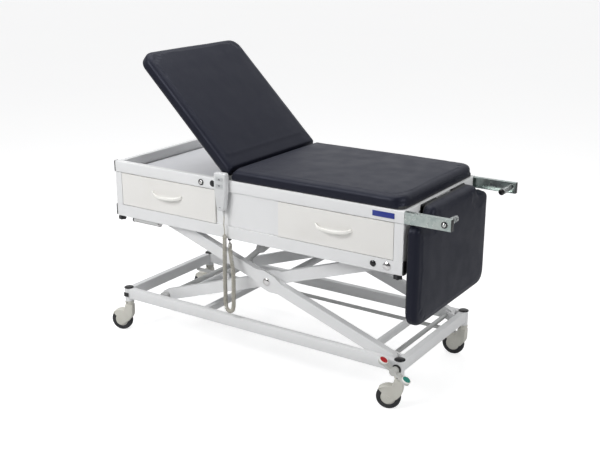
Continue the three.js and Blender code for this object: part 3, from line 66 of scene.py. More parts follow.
def at(x, y, z):
    """A point given in the CAD source's millimetres, in the frame's metres."""
    return Vector(((x - ORIGIN_X) / 1000, (y - ORIGIN_Y) / 1000, z / 1000))


def back_at(p):
    """A point given in the frame's metres, in the CAD source's millimetres."""
    return p.x * 1000 + ORIGIN_X, p.y * 1000 + ORIGIN_Y, p.z * 1000


def new_mesh(name, verts, faces):
    mesh = bpy.data.meshes.new(name)
    mesh.from_pydata([tuple(v) for v in verts], [], faces)
    return mesh


def new_object(name, data):
    made = bpy.data.objects.new(name, data)
    scene.collection.objects.link(made)
    return made


# Camera fitted to the photograph: place in CAD millimetres, angles in degrees, lengths in pixels
CAMERA_PLACE = (2251.56, -3354.74, 1821.8)
CAMERA_AZIMUTH, CAMERA_ELEVATION, CAMERA_ROLL = 33.317, 17.350, 0.095
FOCAL_PIXELS, PHOTO_PIXELS = 959.03, 600
SENSOR_MM = 36


def make_camera():
    data = bpy.data.cameras.new("camera")
    cam = new_object("camera", data)
    azimuth, elevation, roll = (math.radians(a) for a in (CAMERA_AZIMUTH, CAMERA_ELEVATION, CAMERA_ROLL))
    forward = Vector((-math.sin(azimuth) * math.cos(elevation),
                      math.cos(azimuth) * math.cos(elevation), -math.sin(elevation)))
    level = Vector((math.cos(azimuth), math.sin(azimuth), 0))
    up = level.cross(forward)
    right = level * math.cos(roll) + up * math.sin(roll)
    top = up * math.cos(roll) - level * math.sin(roll)
    turn = Matrix((right, top, -forward)).transposed()
    cam.matrix_world = Matrix.Translation(at(*CAMERA_PLACE)) @ turn.to_4x4()
    data.sensor_width = SENSOR_MM
    data.lens = FOCAL_PIXELS / PHOTO_PIXELS * SENSOR_MM
    data.clip_start, data.clip_end = 0.05, 60
    scene.camera = cam


make_camera()


# Shading helpers: each material is a small node tree in object coordinates, which are metres
class Look:
    """A material under way: set, tint, rough and bump each change one thing about its surface."""

    def __init__(self, name, colour, rough, metal=0.0):
        self.made = bpy.data.materials.new(name)
        self.made.use_nodes = True
        self.tree = self.made.node_tree
        self.shader = self.tree.nodes["Principled BSDF"]
        self.colour = (*colour, 1.0)
        self.set("Base Color", self.colour)
        self.set("Roughness", rough)
        self.set("Metallic", metal)
        self.place = self.tree.nodes.new("ShaderNodeTexCoord").outputs["Object"]
        self.last_normal = None

    def set(self, socket, value):
        self.shader.inputs[socket].default_value = value
        return self

    def node(self, kind, **values):
        made = self.tree.nodes.new(kind)
        for key, value in values.items():
            if hasattr(made, key):
                setattr(made, key, value)
            else:
                made.inputs[key].default_value = value
        return made

    def link(self, a, b):
        self.tree.links.new(a, b)

    def stretched(self, x, y, z):
        moved = self.node("ShaderNodeMapping")
        moved.inputs["Scale"].default_value = (x, y, z)
        self.link(self.place, moved.inputs["Vector"])
        return moved.outputs["Vector"]

    def noise(self, scale, detail=3.0, rough=0.5, place=None):
        made = self.node("ShaderNodeTexNoise", Scale=scale, Detail=detail, Roughness=rough)
        self.link(place or self.place, made.inputs["Vector"])
        return made.outputs["Fac"]

    def cells(self, scale, out="Distance"):
        made = self.node("ShaderNodeTexVoronoi", Scale=scale)
        self.link(self.place, made.inputs["Vector"])
        return made.outputs[out]

    def ramp(self, source, low, high, a=0.0, b=1.0):
        made = self.node("ShaderNodeMapRange")
        made.inputs["From Min"].default_value = low
        made.inputs["From Max"].default_value = high
        made.inputs["To Min"].default_value = a
        made.inputs["To Max"].default_value = b
        self.link(source, made.inputs["Value"])
        return made.outputs["Result"]

    def rough(self, source, low, high, a, b):
        self.link(self.ramp(source, low, high, a, b), self.shader.inputs["Roughness"])
        return self

    def tint(self, source, low, high, other):
        made = self.node("ShaderNodeMix", data_type="RGBA")
        colours = [s for s in made.inputs if s.type == "RGBA"]
        colours[0].default_value = self.colour
        colours[1].default_value = (*other, 1.0)
        current = self.shader.inputs["Base Color"]
        if current.links:
            self.link(current.links[0].from_socket, colours[0])
        self.link(self.ramp(source, low, high), made.inputs["Factor"])
        self.link([s for s in made.outputs if s.type == "RGBA"][0], current)
        return self

    def bump(self, source, height, strength=1.0):
        made = self.node("ShaderNodeBump")
        made.inputs["Distance"].default_value = height
        made.inputs["Strength"].default_value = strength
        self.link(source, made.inputs["Height"])
        if self.last_normal:
            self.link(self.last_normal, made.inputs["Normal"])
        self.last_normal = made.outputs["Normal"]
        self.link(self.last_normal, self.shader.inputs["Normal"])
        return self


def coated(name, colour, soiled, rough=0.34):
    """Powder coat: orange peel about 2 mm across, light soil in wide patches, slightly uneven gloss."""
    look = Look(name, colour, rough)
    look.tint(look.noise(3.2, 4, 0.6), 0.52, 0.78, soiled)
    look.rough(look.noise(9, 4), 0.3, 0.7, rough - 0.06, rough + 0.10)
    look.bump(look.noise(520, 2, 0.4), 0.00012, 0.5)
    return look.made


def leather():
    """Matt vinyl: pebbled grain of about 1.3 mm, a finer pore between, faint cloudy wear."""
    look = Look("leatherette", (0.0066, 0.0074, 0.0146), 0.44)
    look.tint(look.noise(5.5, 5, 0.6), 0.40, 0.85, (0.0086, 0.0095, 0.0180))
    look.tint(look.cells(760), 0.0, 0.55, (0.0076, 0.0084, 0.0162))
    look.rough(look.noise(14, 5), 0.3, 0.7, 0.40, 0.50)
    look.bump(look.cells(760), 0.00022, 0.55)
    look.bump(look.noise(2400, 2), 0.00006, 0.5)
    look.set("Sheen Weight", 0.05).set("Sheen Roughness", 0.45)
    look.set("Sheen Tint", (0.62, 0.66, 0.82, 1.0))
    look.set("Specular IOR Level", 0.26).set("Specular Tint", (0.80, 0.84, 1.0, 1.0))
    return look.made


def zinc_plate():
    """Bright zinc: spangle of about 9 mm, drawn lines along the bar, a green cast."""
    look = Look("zinc", (0.56, 0.625, 0.60), 0.30, 1.0)
    look.tint(look.cells(110, out="Color"), 0.15, 0.9, (0.42, 0.50, 0.485))
    look.tint(look.noise(6, 4), 0.5, 0.75, (0.66, 0.70, 0.665))
    look.rough(look.cells(110, out="Color"), 0.0, 1.0, 0.24, 0.40)
    look.bump(look.noise(90, 3, place=look.stretched(0.12, 6, 6)), 0.0001, 0.4)
    return look.made


def bright(name, colour, rough, uneven):
    """Bare or plated metal with uneven gloss and faint waves."""
    look = Look(name, colour, rough, 1.0)
    look.rough(look.noise(40, 4), 0.3, 0.7, rough, rough + uneven)
    look.bump(look.noise(300, 3), 0.00004, 0.4)
    return look.made


def moulded(name, colour, other, rough, grain, depth):
    """Moulded plastic or rubber: spark-eroded texture, slight mottling."""
    look = Look(name, colour, rough)
    look.tint(look.noise(16, 4, 0.6), 0.45, 0.75, other)
    look.rough(look.noise(30, 4), 0.3, 0.7, rough - 0.05, rough + 0.09)
    look.bump(look.noise(grain, 3, 0.6), depth, 0.6)
    return look.made


def clear_sleeve():
    """Clear grey plastic tube, a little clouded."""
    look = Look("clear_sleeve", (0.80, 0.83, 0.83), 0.08)
    look.tint(look.noise(60, 3), 0.45, 0.75, (0.70, 0.73, 0.73))
    look.rough(look.noise(80, 3), 0.3, 0.7, 0.05, 0.16)
    look.set("Transmission Weight", 0.85).set("IOR", 1.42)
    return look.made


LOOKS = {
    "coat": coated("white_coat", (0.775, 0.78, 0.785), (0.745, 0.75, 0.75)),
    "front": coated("warm_front", (0.80, 0.79, 0.765), (0.77, 0.755, 0.725), 0.40),
    "bow": coated("bow_handle", (0.86, 0.85, 0.815), (0.83, 0.82, 0.78), 0.24),
    "deck": coated("tray_coat", (0.66, 0.665, 0.69), (0.62, 0.625, 0.65), 0.46),
    "pad": leather(),
    "board": moulded("board_cover", (0.030, 0.031, 0.034), (0.042, 0.043, 0.046), 0.72, 900, 0.0002),
    "zinc": zinc_plate(),
    "chrome": bright("chrome", (0.80, 0.79, 0.785), 0.06, 0.08),
    "steel": bright("brushed_steel", (0.56, 0.565, 0.56), 0.30, 0.16),
    "cream": moulded("cream_plastic", (0.62, 0.61, 0.555), (0.57, 0.555, 0.50), 0.44, 1100, 0.0001),
    "tyre": moulded("tyre_rubber", (0.022, 0.023, 0.026), (0.05, 0.05, 0.052), 0.66, 700, 0.0002),
    "black": moulded("black_plastic", (0.012, 0.012, 0.014), (0.022, 0.022, 0.025), 0.36, 1200, 0.0001),
    "gloss": moulded("gloss_black", (0.010, 0.010, 0.011), (0.016, 0.016, 0.018), 0.16, 1200, 0.00003),
    # grey of the raised arrows, and painted shade of the handset's slot
    "mark": moulded("print_and_slot_shade_grey", (0.10, 0.105, 0.11), (0.13, 0.135, 0.14), 0.5, 1300, 0.00003),
    "sleeve": clear_sleeve(),
    "grey": moulded("grey_plastic", (0.56, 0.565, 0.56), (0.51, 0.515, 0.51), 0.46, 1100, 0.0001),
    "lever": moulded("lever_grey", (0.55, 0.55, 0.525), (0.49, 0.49, 0.465), 0.42, 900, 0.0001),
    "handset": moulded("handset_plastic", (0.66, 0.67, 0.675), (0.62, 0.625, 0.63), 0.40, 1300, 0.00008),
    "panel": moulded("key_panel", (0.60, 0.61, 0.615), (0.56, 0.57, 0.575), 0.42, 1300, 0.00006),
    "keys": moulded("key_plastic", (0.50, 0.51, 0.52), (0.46, 0.47, 0.48), 0.48, 1300, 0.00008),
    "cord": moulded("cord_vinyl", (0.47, 0.45, 0.395), (0.42, 0.40, 0.35), 0.46, 1500, 0.00008),
    "red": moulded("red_rubber", (0.50, 0.012, 0.016), (0.42, 0.010, 0.014), 0.42, 1100, 0.0001),
    "green": moulded("green_rubber", (0.003, 0.215, 0.165), (0.003, 0.18, 0.14), 0.42, 1100, 0.0001),
    "blue": moulded("blank_label", (0.016, 0.032, 0.24), (0.022, 0.042, 0.28), 0.30, 600, 0.00004),
}


# Floor and light, in metres and watts; a soft box is its name, place, aim, size and power
FLOOR_REACH, FLOOR_GLOW = 70, 0.66
SKY_DIM, SKY_BRIGHT = 0.10, 0.70
SKY_BEHIND, SKY_FADE = (-0.549, 0.836, 0.0), (-0.5, 0.6)
LAMPS = [
    ("top", (-0.4, 0.1, 3.4), (0, 0, 0.6), 2.6, 52),
    ("key", (-1.2, -3.2, 2.7), (0, 0, 0.6), 1.8, 92),
    ("side", (3.6, -0.8, 1.9), (0.3, 0, 0.6), 1.4, 46),
]


def make_floor():
    """A wide matt floor, which glows to the camera alone so that it is white in the picture."""
    corners = [(x * FLOOR_REACH, y * FLOOR_REACH, 0) for x, y in ((-1, -1), (1, -1), (1, 1), (-1, 1))]
    floor = new_object("floor", new_mesh("floor", corners, [(0, 1, 2, 3)]))
    look = Look("studio_floor", (0.62, 0.62, 0.62), 0.75)
    look.tint(look.noise(0.7, 2), 0.4, 0.7, (0.61, 0.61, 0.615))
    look.bump(look.noise(220, 2), 0.0001, 0.3)
    look.set("Emission Color", (1.0, 1.0, 1.0, 1.0))
    seen = look.node("ShaderNodeLightPath").outputs["Is Camera Ray"]
    look.link(look.ramp(seen, 0, 1, 0, FLOOR_GLOW), look.shader.inputs["Emission Strength"])
    floor.data.materials.append(look.made)
    floor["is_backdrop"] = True


def make_sky():
    """Dim towards the front of the studio, bright behind the table."""
    world = bpy.data.worlds.new("studio")
    scene.world = world
    world.use_nodes = True
    tree = world.node_tree
    way = tree.nodes.new("ShaderNodeTexCoord").outputs["Generated"]
    facing = tree.nodes.new("ShaderNodeVectorMath")
    facing.operation = "DOT_PRODUCT"
    facing.inputs[1].default_value = SKY_BEHIND
    tree.links.new(way, facing.inputs[0])
    fade = tree.nodes.new("ShaderNodeMapRange")
    fade.inputs["From Min"].default_value, fade.inputs["From Max"].default_value = SKY_FADE
    fade.inputs["To Min"].default_value, fade.inputs["To Max"].default_value = SKY_DIM, SKY_BRIGHT
    tree.links.new(facing.outputs["Value"], fade.inputs["Value"])
    tree.nodes["Background"].inputs["Color"].default_value = (0.985, 0.99, 1.0, 1.0)
    tree.links.new(fade.outputs["Result"], tree.nodes["Background"].inputs["Strength"])


def make_lamps():
    for name, place, aim, size, power in LAMPS:
        data = bpy.data.lights.new(name, "AREA")
        data.size = size
        data.energy = power
        lamp = new_object(name, data)
        lamp.location = place
        lamp.rotation_mode = "QUATERNION"
        lamp.rotation_quaternion = (Vector(aim) - Vector(place)).to_track_quat("-Z", "Y")


make_floor()
make_sky()
make_lamps()
scene.view_settings.view_transform = "Standard"
scene.view_settings.look = "None"


# Mesh helpers
def new_piece(name, verts, faces, look, body, smooth=True):
    """A piece of the object, made here, with its look and the body that carries it."""
    mesh = new_mesh(name, verts, faces)
    mesh.validate()
    made = new_object(name, mesh)
    if smooth:
        mesh.shade_smooth()
    mesh.materials.append(LOOKS[look])
    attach(made, body)
    return made


def loft(rings):
    """Vertices and faces through rings of equal count, with a fan at each end."""
    count = len(rings[0])
    verts = [p for ring in rings for p in ring]
    faces = []
    for i in range(len(rings) - 1):
        for j in range(count):
            a, b = i * count + j, i * count + (j + 1) % count
            faces.append((a, b, b + count, a + count))
    for start, flip in ((0, True), ((len(rings) - 1) * count, False)):
        middle = sum((Vector(verts[start + j]) for j in range(count)), Vector()) / count
        verts.append(middle)
        for j in range(count):
            a, b = start + j, start + (j + 1) % count
            faces.append((b, a, len(verts) - 1) if flip else (a, b, len(verts) - 1))
    return verts, faces


def lathe(profile, place, axis, steps=32):
    """Loft of a profile of (radius, height) in mm, turned about an axis through place, in metres."""
    axis = Vector(axis).normalized()
    side = axis.orthogonal().normalized()
    other = axis.cross(side)
    rings = []
    for radius, height in profile:
        centre = Vector(place) + axis * (height / 1000)
        turns = (2 * math.pi * k / steps for k in range(steps))
        reach = max(radius, 0.01) / 1000
        rings.append([centre + (side * math.cos(t) + other * math.sin(t)) * reach for t in turns])
    return loft(rings)


def turned(name, profile, place, axis, look, body, steps=32):
    """A solid piece with a round profile of (radius, height)."""
    made = new_piece(name, *lathe(profile, place, axis, steps), look, body)
    sharpen(made, angle=42)
    return made


def sharpen(obj, angle):
    """Smooth shading that breaks at edges sharper than angle, in degrees."""
    mesh = obj.data
    work = bmesh.new()
    work.from_mesh(mesh)
    limit = math.radians(angle)
    for face in work.faces:
        face.smooth = True
    for edge in work.edges:
        edge.smooth = len(edge.link_faces) == 2 and edge.calc_face_angle(0) < limit
    work.to_mesh(mesh)
    work.free()


def arc(cx, cz, r, start, end, steps):
    """Points of an arc about (cx, cz) between two angles in degrees."""
    angles = [math.radians(start + (end - start) * k / steps) for k in range(steps + 1)]
    return [(cx + r * math.cos(t), cz + r * math.sin(t)) for t in angles]


def fix_outward(mesh):
    """Faces turned so that their normals point out."""
    work = bmesh.new()
    work.from_mesh(mesh)
    bmesh.ops.recalc_face_normals(work, faces=work.faces)
    work.to_mesh(mesh)
    work.free()


def add_weld(obj, reach=0.00002):
    obj.modifiers.new("weld", "WELD").merge_threshold = reach


def add_flat(obj):
    """Flat faces without the seams of their triangles."""
    flat = obj.modifiers.new("flat", "DECIMATE")
    flat.decimate_type, flat.angle_limit = "DISSOLVE", math.radians(0.6)
    return flat


def smooth_step(value, low, high):
    t = max(0.0, min(1.0, (value - low) / (high - low)))
    return t * t * (3 - 2 * t)


# Curly cord: a straight lead from the handset, curls down and up again, and a tail into the gland
CORD_EXIT = (-109, -339.15, 668.0)
CORD_ROUTE = [
    (-109, -338, 590), (-111, -338, 500), (-112, -338, 400), (-111.5, -338, 320), (-110.5, -338, 272),
    (-104.5, -338, 253), (-90, -338, 246), (-75.5, -338, 253), (-69.5, -338, 272), (-68, -338, 320),
    (-67, -338, 400), (-70, -338, 445), (-86, -327, 490), (-100, -313, 520), (-104, -310, 546.2)]
CURLS, CURL_STEPS, CURL_RADIUS, WIRE = 108, 20, 7.0, 4.6
CURL_FADE, TAIL = 1.5, 9.5
RELIEF_LONG, RELIEF_RIBS, RIB_PITCH = 22, 5, 4.2


def centripetal(points, per_span):
    """Points along a centripetal Catmull-Rom curve, as the CAD route is drawn."""
    pts = [Vector(p) for p in points]
    pts = [pts[0] * 2 - pts[1], *pts, pts[-1] * 2 - pts[-2]]
    out = []
    for i in range(1, len(pts) - 2):
        p0, p1, p2, p3 = pts[i - 1:i + 3]
        t0 = max((p1 - p0).length, 1e-6) ** 0.5
        t1 = max((p2 - p1).length, 1e-6) ** 0.5
        t2 = max((p3 - p2).length, 1e-6) ** 0.5
        m1 = ((p1 - p0) / t0 - (p2 - p0) / (t0 + t1) + (p2 - p1) / t1) * t1
        m2 = ((p2 - p1) / t1 - (p3 - p1) / (t1 + t2) + (p3 - p2) / t2) * t1
        for k in range(per_span):
            t = k / per_span
            out.append(p1 * (2 * t ** 3 - 3 * t * t + 1) + m1 * (t ** 3 - 2 * t * t + t)
                       + p2 * (3 * t * t - 2 * t ** 3) + m2 * (t ** 3 - t * t))
    out.append(pts[-2])
    return out


def evenly(line, count):
    """count + 1 points at equal steps along a line."""
    along = [0.0]
    for a, b in zip(line, line[1:]):
        along.append(along[-1] + (b - a).length)
    out, k = [], 0
    for i in range(count + 1):
        want = along[-1] * i / count
        while k < len(line) - 2 and along[k + 1] < want:
            k += 1
        span = max(along[k + 1] - along[k], 1e-9)
        out.append(line[k].lerp(line[k + 1], min(1.0, (want - along[k]) / span)))
    return out


def cord_line():
    """The wire's middle line, from the handset to the gland."""
    steps = CURLS * CURL_STEPS
    path = evenly(centripetal(CORD_ROUTE, 60), steps)
    side = Vector((1, 0, 0))
    wound = []
    for i, p in enumerate(path):
        along = (path[min(i + 1, steps)] - path[max(i - 1, 0)]).normalized()
        side = (side - along * side.dot(along)).normalized()
        other = along.cross(side)
        turns = CURLS * i / steps
        radius = CURL_RADIUS * min(1.0, turns / CURL_FADE, (CURLS - turns) / CURL_FADE)
        angle = turns * 2 * math.pi
        wound.append(p + (side * math.cos(angle) + other * math.sin(angle)) * radius)
    exit_point = Vector(CORD_EXIT)
    route = [exit_point, exit_point - Vector((0, 0, 10)), exit_point + Vector((-1.2, -0.5, -40)),
             wound[0] + Vector((0, 0, 12)), wound[0]]
    lead = centripetal(route, 8)
    tail = wound[-1] + Vector((0, 0, TAIL))
    return [at(*p) for p in [*lead[:-1], *wound, tail]]


def strain_relief():
    """Ribbed sleeve where the cord leaves the handset."""
    profile = [(5, -3)]
    for k in range(RELIEF_RIBS):
        height, radius = RIB_PITCH * k, 6.2 - 0.6 * k
        profile += [(radius - 1.1, height), (radius, height + 0.5)]
        profile += [(radius, height + 2.6), (radius - 1.1, height + 3.1)]
    profile.append((2.7, RELIEF_LONG))
    x, y, z = CORD_EXIT
    return turned("strain_relief", profile, at(x, y, z + RELIEF_LONG), (0, 0, -1), "grey", "box", 28)


def make_cord():
    line = cord_line()
    data = bpy.data.curves.new("handset_cord", "CURVE")
    data.dimensions = "3D"
    data.bevel_depth = WIRE / 2000
    data.bevel_resolution = 3
    data.use_fill_caps = True
    spline = data.splines.new("POLY")
    spline.points.add(len(line) - 1)
    for point, place in zip(spline.points, line):
        point.co = (*place, 1)
    spline.use_smooth = True
    made = new_object("handset_cord", data)
    data.materials.append(LOOKS["cord"])
    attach(made, "box")
    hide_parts("cord_lead", "cord_curl")
    collar = strain_relief()


make_cord()


# Places in the CAD source that looks and fittings are told by, in its millimetres
POST_X, POST_Y, POST_TOP = 709, 300, 211.65
SHAFT_Z, PEDAL_Y = 181, -347
PIVOT_X, PIVOT_Z = 652, 198
CATCH_X, CATCH_Z = -239, 792
HINGE_X, HINGE_Z = -99, 828.3
BAR_Z, BOLT_X, PEG_X = 794, 878, 862
HANDSET_X, HANDSET_FOOT = -120, 690
NEAR_FACE, NEAR_RAIL_Y, RAIL_UNDER = -323.5, -307, 567.5
RAIL_ENDS = (-729.2, 717.2)

# Place of each caster's post, and the turn of its swivel in degrees
CASTER_PLACES = {"near_head": (-POST_X, -POST_Y, 19.5), "far_head": (-POST_X, POST_Y, 10),
                 "near_foot": (POST_X, -POST_Y, 17.5), "far_foot": (POST_X, POST_Y, 2)}


# Looks of the CAD nodes: fused fittings get theirs by where they are
def near(value, middle, reach):
    return abs(value - middle) <= reach


def post_cap(x, y, z, n):
    return z > POST_TOP and near(abs(x), POST_X, 22.5) and near(abs(y), POST_Y, 22.5)


def square_plug(x, y, z, n):
    return y < -319.5 and near(x, -POST_X, 13) and near(z, SHAFT_Z, 11)


def pivot_shaft(x, y, z, n):
    return near(x, PIVOT_X, 10.5) and near(z, PIVOT_Z, 10.5)


def rail_cap(x, y, z, n):
    return x < RAIL_ENDS[0] or x > RAIL_ENDS[1]


def back_hinge_bore(x, y, z, n):
    return near(x, HINGE_X, 4.4) and near(z, HINGE_Z, 4.4) and abs(y) < 294.4


def leaf(x, y, z, n):
    """Between the two edges of a hinge leaf of the leg section."""
    return 60 < abs(y) < 195


def under_rail(x, y, z, n):
    """What is hung under the near bottom rail."""
    return z < RAIL_UNDER and near(y, NEAR_RAIL_Y, 13)


PLAIN = {
    "steel": ["brake_cam_shaft_head", "brake_link_bar", "actuator_rod", "back_pawl"],
    "red": ["pedal_pad_red"],
    "green": ["pedal_pad_green"],
    "cream": [f"caster_housing_{corner}" for corner in CASTER_PLACES],
    "tyre": [f"caster_wheel_{corner}" for corner in CASTER_PLACES],
    "chrome": ["centre_pivot_near", "centre_pivot_far", "upper_pivot_shaft"],
    "grey": ["actuator_tube"],
    "deck": ["tray_deck", "drawer_head_tray", "drawer_foot_tray"],
    "black": ["knob_head", "knob_foot"],
    "front": ["drawer_head_front", "drawer_foot_front", "drawer_head_handle", "drawer_foot_handle"],
    "board": ["seat_board"],
    "pad": ["seat_cushion", "back_cushion", "leg_cushion"],
    "keys": ["button_up", "button_down"],
}
ROLLERS = ("grey", [("steel", lambda x, y, z, n: abs(y) < 254)])
BAR = ("zinc", [("black", lambda x, y, z, n: x > 899.9 and abs(n.x) > 0.5),
                ("sleeve", lambda x, y, z, n: x > PEG_X and abs(y) < 299.9)])
MIXED = {
    "base_end_head": ("coat", [("black", post_cap), ("black", square_plug)]),
    "base_end_foot": ("coat", [
        ("black", post_cap),
        ("black", lambda x, y, z, n: pivot_shaft(x, y, z, n) and abs(y) > 283.9),
        ("steel", lambda x, y, z, n: pivot_shaft(x, y, z, n) and abs(y) < 284
         and not near(abs(y), 243.5, 6))]),
    "brake_pedal": ("lever", [
        ("black", lambda x, y, z, n: -333.4 < y < -321.5 and math.hypot(x - POST_X, z - SHAFT_Z) > 10),
        ("steel", lambda x, y, z, n: y > -322)]),
    "catch_bolt": ("chrome", [
        ("black", lambda x, y, z, n: -327.9 < y < -323.6 and math.hypot(x - CATCH_X, z - CATCH_Z) > 9.3)]),
    "upper_roller_axle": ROLLERS,
    "lower_roller_axle": ROLLERS,
    "top_rail_near": ("coat", [
        ("black", rail_cap),
        ("black", lambda x, y, z, n: y < NEAR_FACE - 0.2 and near(x, -178, 14.5) and near(z, BAR_Z, 14.5)),
        ("grey", lambda x, y, z, n: y < NEAR_FACE - 0.1 and near(x, HANDSET_X, 20.5)),
        ("steel", back_hinge_bore)]),
    "top_rail_far": ("coat", [("black", rail_cap), ("steel", back_hinge_bore)]),
    "bottom_rail_near": ("coat", [
        ("black", rail_cap),
        ("gloss", lambda x, y, z, n: y < NEAR_FACE - 0.15 and near(x, 592, 14)),
        ("black", lambda x, y, z, n: z < 566.9 and near(x, -104, 9)),
        ("black", lambda x, y, z, n: under_rail(x, y, z, n) and x < -638),
        ("chrome", lambda x, y, z, n: under_rail(x, y, z, n) and near(x, -493, 3.6)),
        ("grey", lambda x, y, z, n: z < 567.2 and -640 < x < -489 and near(y, NEAR_RAIL_Y, 12.6)
         and abs(n.z) < 0.9999)]),
    "bottom_rail_far": ("coat", [("black", rail_cap)]),
    "box_end_foot": ("coat", [("black", lambda x, y, z, n: x > 717.05 and leaf(x, y, z, n))]),
    "leg_board": ("board", [("black", lambda x, y, z, n: leaf(x, y, z, n) and x < 732.9)]),
    "back_board": ("board", [("steel", lambda x, y, z, n: near(y, -290.5, 3.2))]),
    "bar_near": BAR,
    "bar_far": BAR,
    "handset_body": ("handset", [("grey", lambda x, y, z, n: z < HANDSET_FOOT - 0.5)]),
}


def paint(node, look, regions=()):
    """A region is a look and a test of a face's middle, in CAD millimetres, and of its normal."""
    mesh = nodes[node].data
    mesh.materials.clear()
    for name in [look, *(r[0] for r in regions)]:
        mesh.materials.append(LOOKS[name])
    if regions:
        for face in mesh.polygons:
            x, y, z = back_at(face.center)
            hits = (i + 1 for i, (_, test) in enumerate(regions) if test(x, y, z, face.normal))
            face.material_index = next(hits, 0)


def paint_nodes():
    for name in nodes:
        paint(name, "coat")
    for look, names in PLAIN.items():
        for name in names:
            paint(name, look)
    for name, (look, regions) in MIXED.items():
        paint(name, look, regions)


paint_nodes()


# Cushions: leatherette over the foam and the board's edge, blown up a little by cloth simulation
PAD_VOXEL = 0.006
PAD_INSET, PAD_SWELL = 0.0018, 0.0034
CLOTH_FRAMES = 14
LEAN = math.radians(44.5)
FOLDS, FOLD_DEPTH = 34, 0.0010

# Undersides and ends of the foam and of the slabs that stand in for the boards, in CAD millimetres
SEAT_FOAM_Z, SEAT_FOAM_X = 831.6, -88.5
BACK_FOAM_X, LEG_FOAM_X = -109, 745.3
WRAP_GAP, WRAP_RISE, WRAP_SIDE = 0.6, 4, 322
SEAT_UNDER, SEAT_THICK, SEAT_START, SEAT_END, SEAT_CORNER = 819.3, 12, -84, 709, 38
BACK_UNDER, BACK_THICK, BACK_START, BACK_END, BACK_CORNER = -8, 16, -650, -22, 55
LEG_UNDER, LEG_THICK, LEG_TOP, LEG_INSET = 733, 12, 812, 3
LEG_SIDE, LEG_NECK, LEG_NOTCH, LEG_CORNER, LEG_LONG = 325, 208, 29, 58, 455


def evaluated(obj):
    return obj.evaluated_get(bpy.context.evaluated_depsgraph_get())


def applied(obj):
    """The mesh that obj's modifiers make takes the place of its own."""
    bpy.context.view_layer.update()
    made = bpy.data.meshes.new_from_object(evaluated(obj))
    obj.modifiers.clear()
    obj.data = made
    return made


def level_back(p):
    """A point of the back section as if the section lay flat, in CAD millimetres."""
    x, y, z = back_at(p)
    flat = Matrix.Rotation(-LEAN, 3, "Y") @ Vector((x - HINGE_X, 0, z - HINGE_Z))
    return flat.x + HINGE_X, y, flat.z + HINGE_Z


def on_back(x, y, z):
    """A point of the back section, drawn flat from its hinge, in its raised place."""
    p = Matrix.Rotation(LEAN, 3, "Y") @ Vector((x, 0, z))
    return at(p.x + HINGE_X, y, p.z + HINGE_Z)


# Height of a point above a cushion's underside, and its distance from the cushion's mitred end
def seat_reach(p):
    x, y, z = back_at(p)
    return z - SEAT_FOAM_Z, x - SEAT_FOAM_X


def back_reach(p):
    x, y, z = level_back(p)
    return z - SEAT_FOAM_Z, BACK_FOAM_X - x


def leg_reach(p):
    return back_at(p)[0] - LEG_FOAM_X, 1000.0


def free_share(reach):
    """0 where the cover is held, on the underside and at a mitre, and 1 where it is free."""
    height, along = reach
    return smooth_step(height, 3, 13) * smooth_step(along, 34, 90)


def simulate(obj, held):
    """Places of obj's vertices after a short cloth run under pressure, with some held."""
    group = obj.vertex_groups.new(name="held")
    group.add(held, 1.0, "REPLACE")
    cloth = obj.modifiers.new("cover", "CLOTH")
    cloth.settings.quality = 4
    cloth.settings.mass = 0.4
    cloth.settings.tension_stiffness = 30
    cloth.settings.compression_stiffness = 30
    cloth.settings.shear_stiffness = 15
    cloth.settings.bending_stiffness = 4
    cloth.settings.use_pressure = True
    cloth.settings.uniform_pressure_force = 4.0
    cloth.settings.vertex_group_mass = "held"
    cloth.settings.effector_weights.gravity = 0.0
    cloth.point_cache.frame_start, cloth.point_cache.frame_end = 1, CLOTH_FRAMES
    for frame_number in range(1, CLOTH_FRAMES + 1):
        scene.frame_set(frame_number)
    moved = [v.co.copy() for v in evaluated(obj).to_mesh().vertices]
    evaluated(obj).to_mesh_clear()
    obj.modifiers.remove(cloth)
    obj.vertex_groups.remove(group)
    scene.frame_set(1)
    return moved


def wrap_slab(outline, place, thick):
    """Slab round a board, for the cover over its edge; place maps plan points at a height."""
    heights = (WRAP_GAP, thick * 0.5, thick + WRAP_RISE)
    return loft([[place(u, v, h) for u, v in outline] for h in heights])


def rounded(low, high, corner, mitred):
    """Plan outline between two ends, with round corners at the end that isn't mitred."""
    side = WRAP_SIDE - corner
    if mitred == "low":
        upper = arc(high - corner, side, corner, 0, 90, 8) + [(low, WRAP_SIDE)]
    else:
        upper = [(high, WRAP_SIDE)] + arc(low + corner, side, corner, 90, 180, 8)
    return upper + [(u, -v) for u, v in reversed(upper)]


def leg_outline(inset):
    """Plan of the leg section with its shoulders, counted down from its hinge."""
    side, neck, corner = LEG_SIDE - inset, LEG_NECK - inset, LEG_CORNER - inset
    upper = arc(LEG_LONG - LEG_CORNER, side - corner, corner, 0, 90, 8)
    upper += arc(75, side - LEG_NOTCH, LEG_NOTCH + inset, 90, 180, 6)
    upper += arc(17, neck + LEG_NOTCH, LEG_NOTCH - inset, 0, -90, 6)
    upper += arc(25, neck - LEG_NOTCH, LEG_NOTCH, 90, 180, 6)
    return upper + [(u, -v) for u, v in reversed(upper)]


def make_skin(node, slab):
    """One closed skin round the CAD cushion and the slab."""
    source = nodes[node]
    mesh = source.data.copy()
    mesh.transform(source.matrix_world)
    slab_mesh = new_mesh("slab", *slab)
    fix_outward(slab_mesh)
    joined = bmesh.new()
    joined.from_mesh(mesh)
    joined.from_mesh(slab_mesh)
    joined.to_mesh(mesh)
    joined.free()
    made = new_object(f"{node}_cover", mesh)
    add_weld(made, 0.00005)
    remesh = made.modifiers.new("remesh", "REMESH")
    remesh.mode, remesh.voxel_size = "VOXEL", PAD_VOXEL
    soften = made.modifiers.new("soften", "SMOOTH")
    soften.factor, soften.iterations = 0.5, 5
    applied(made)
    return made


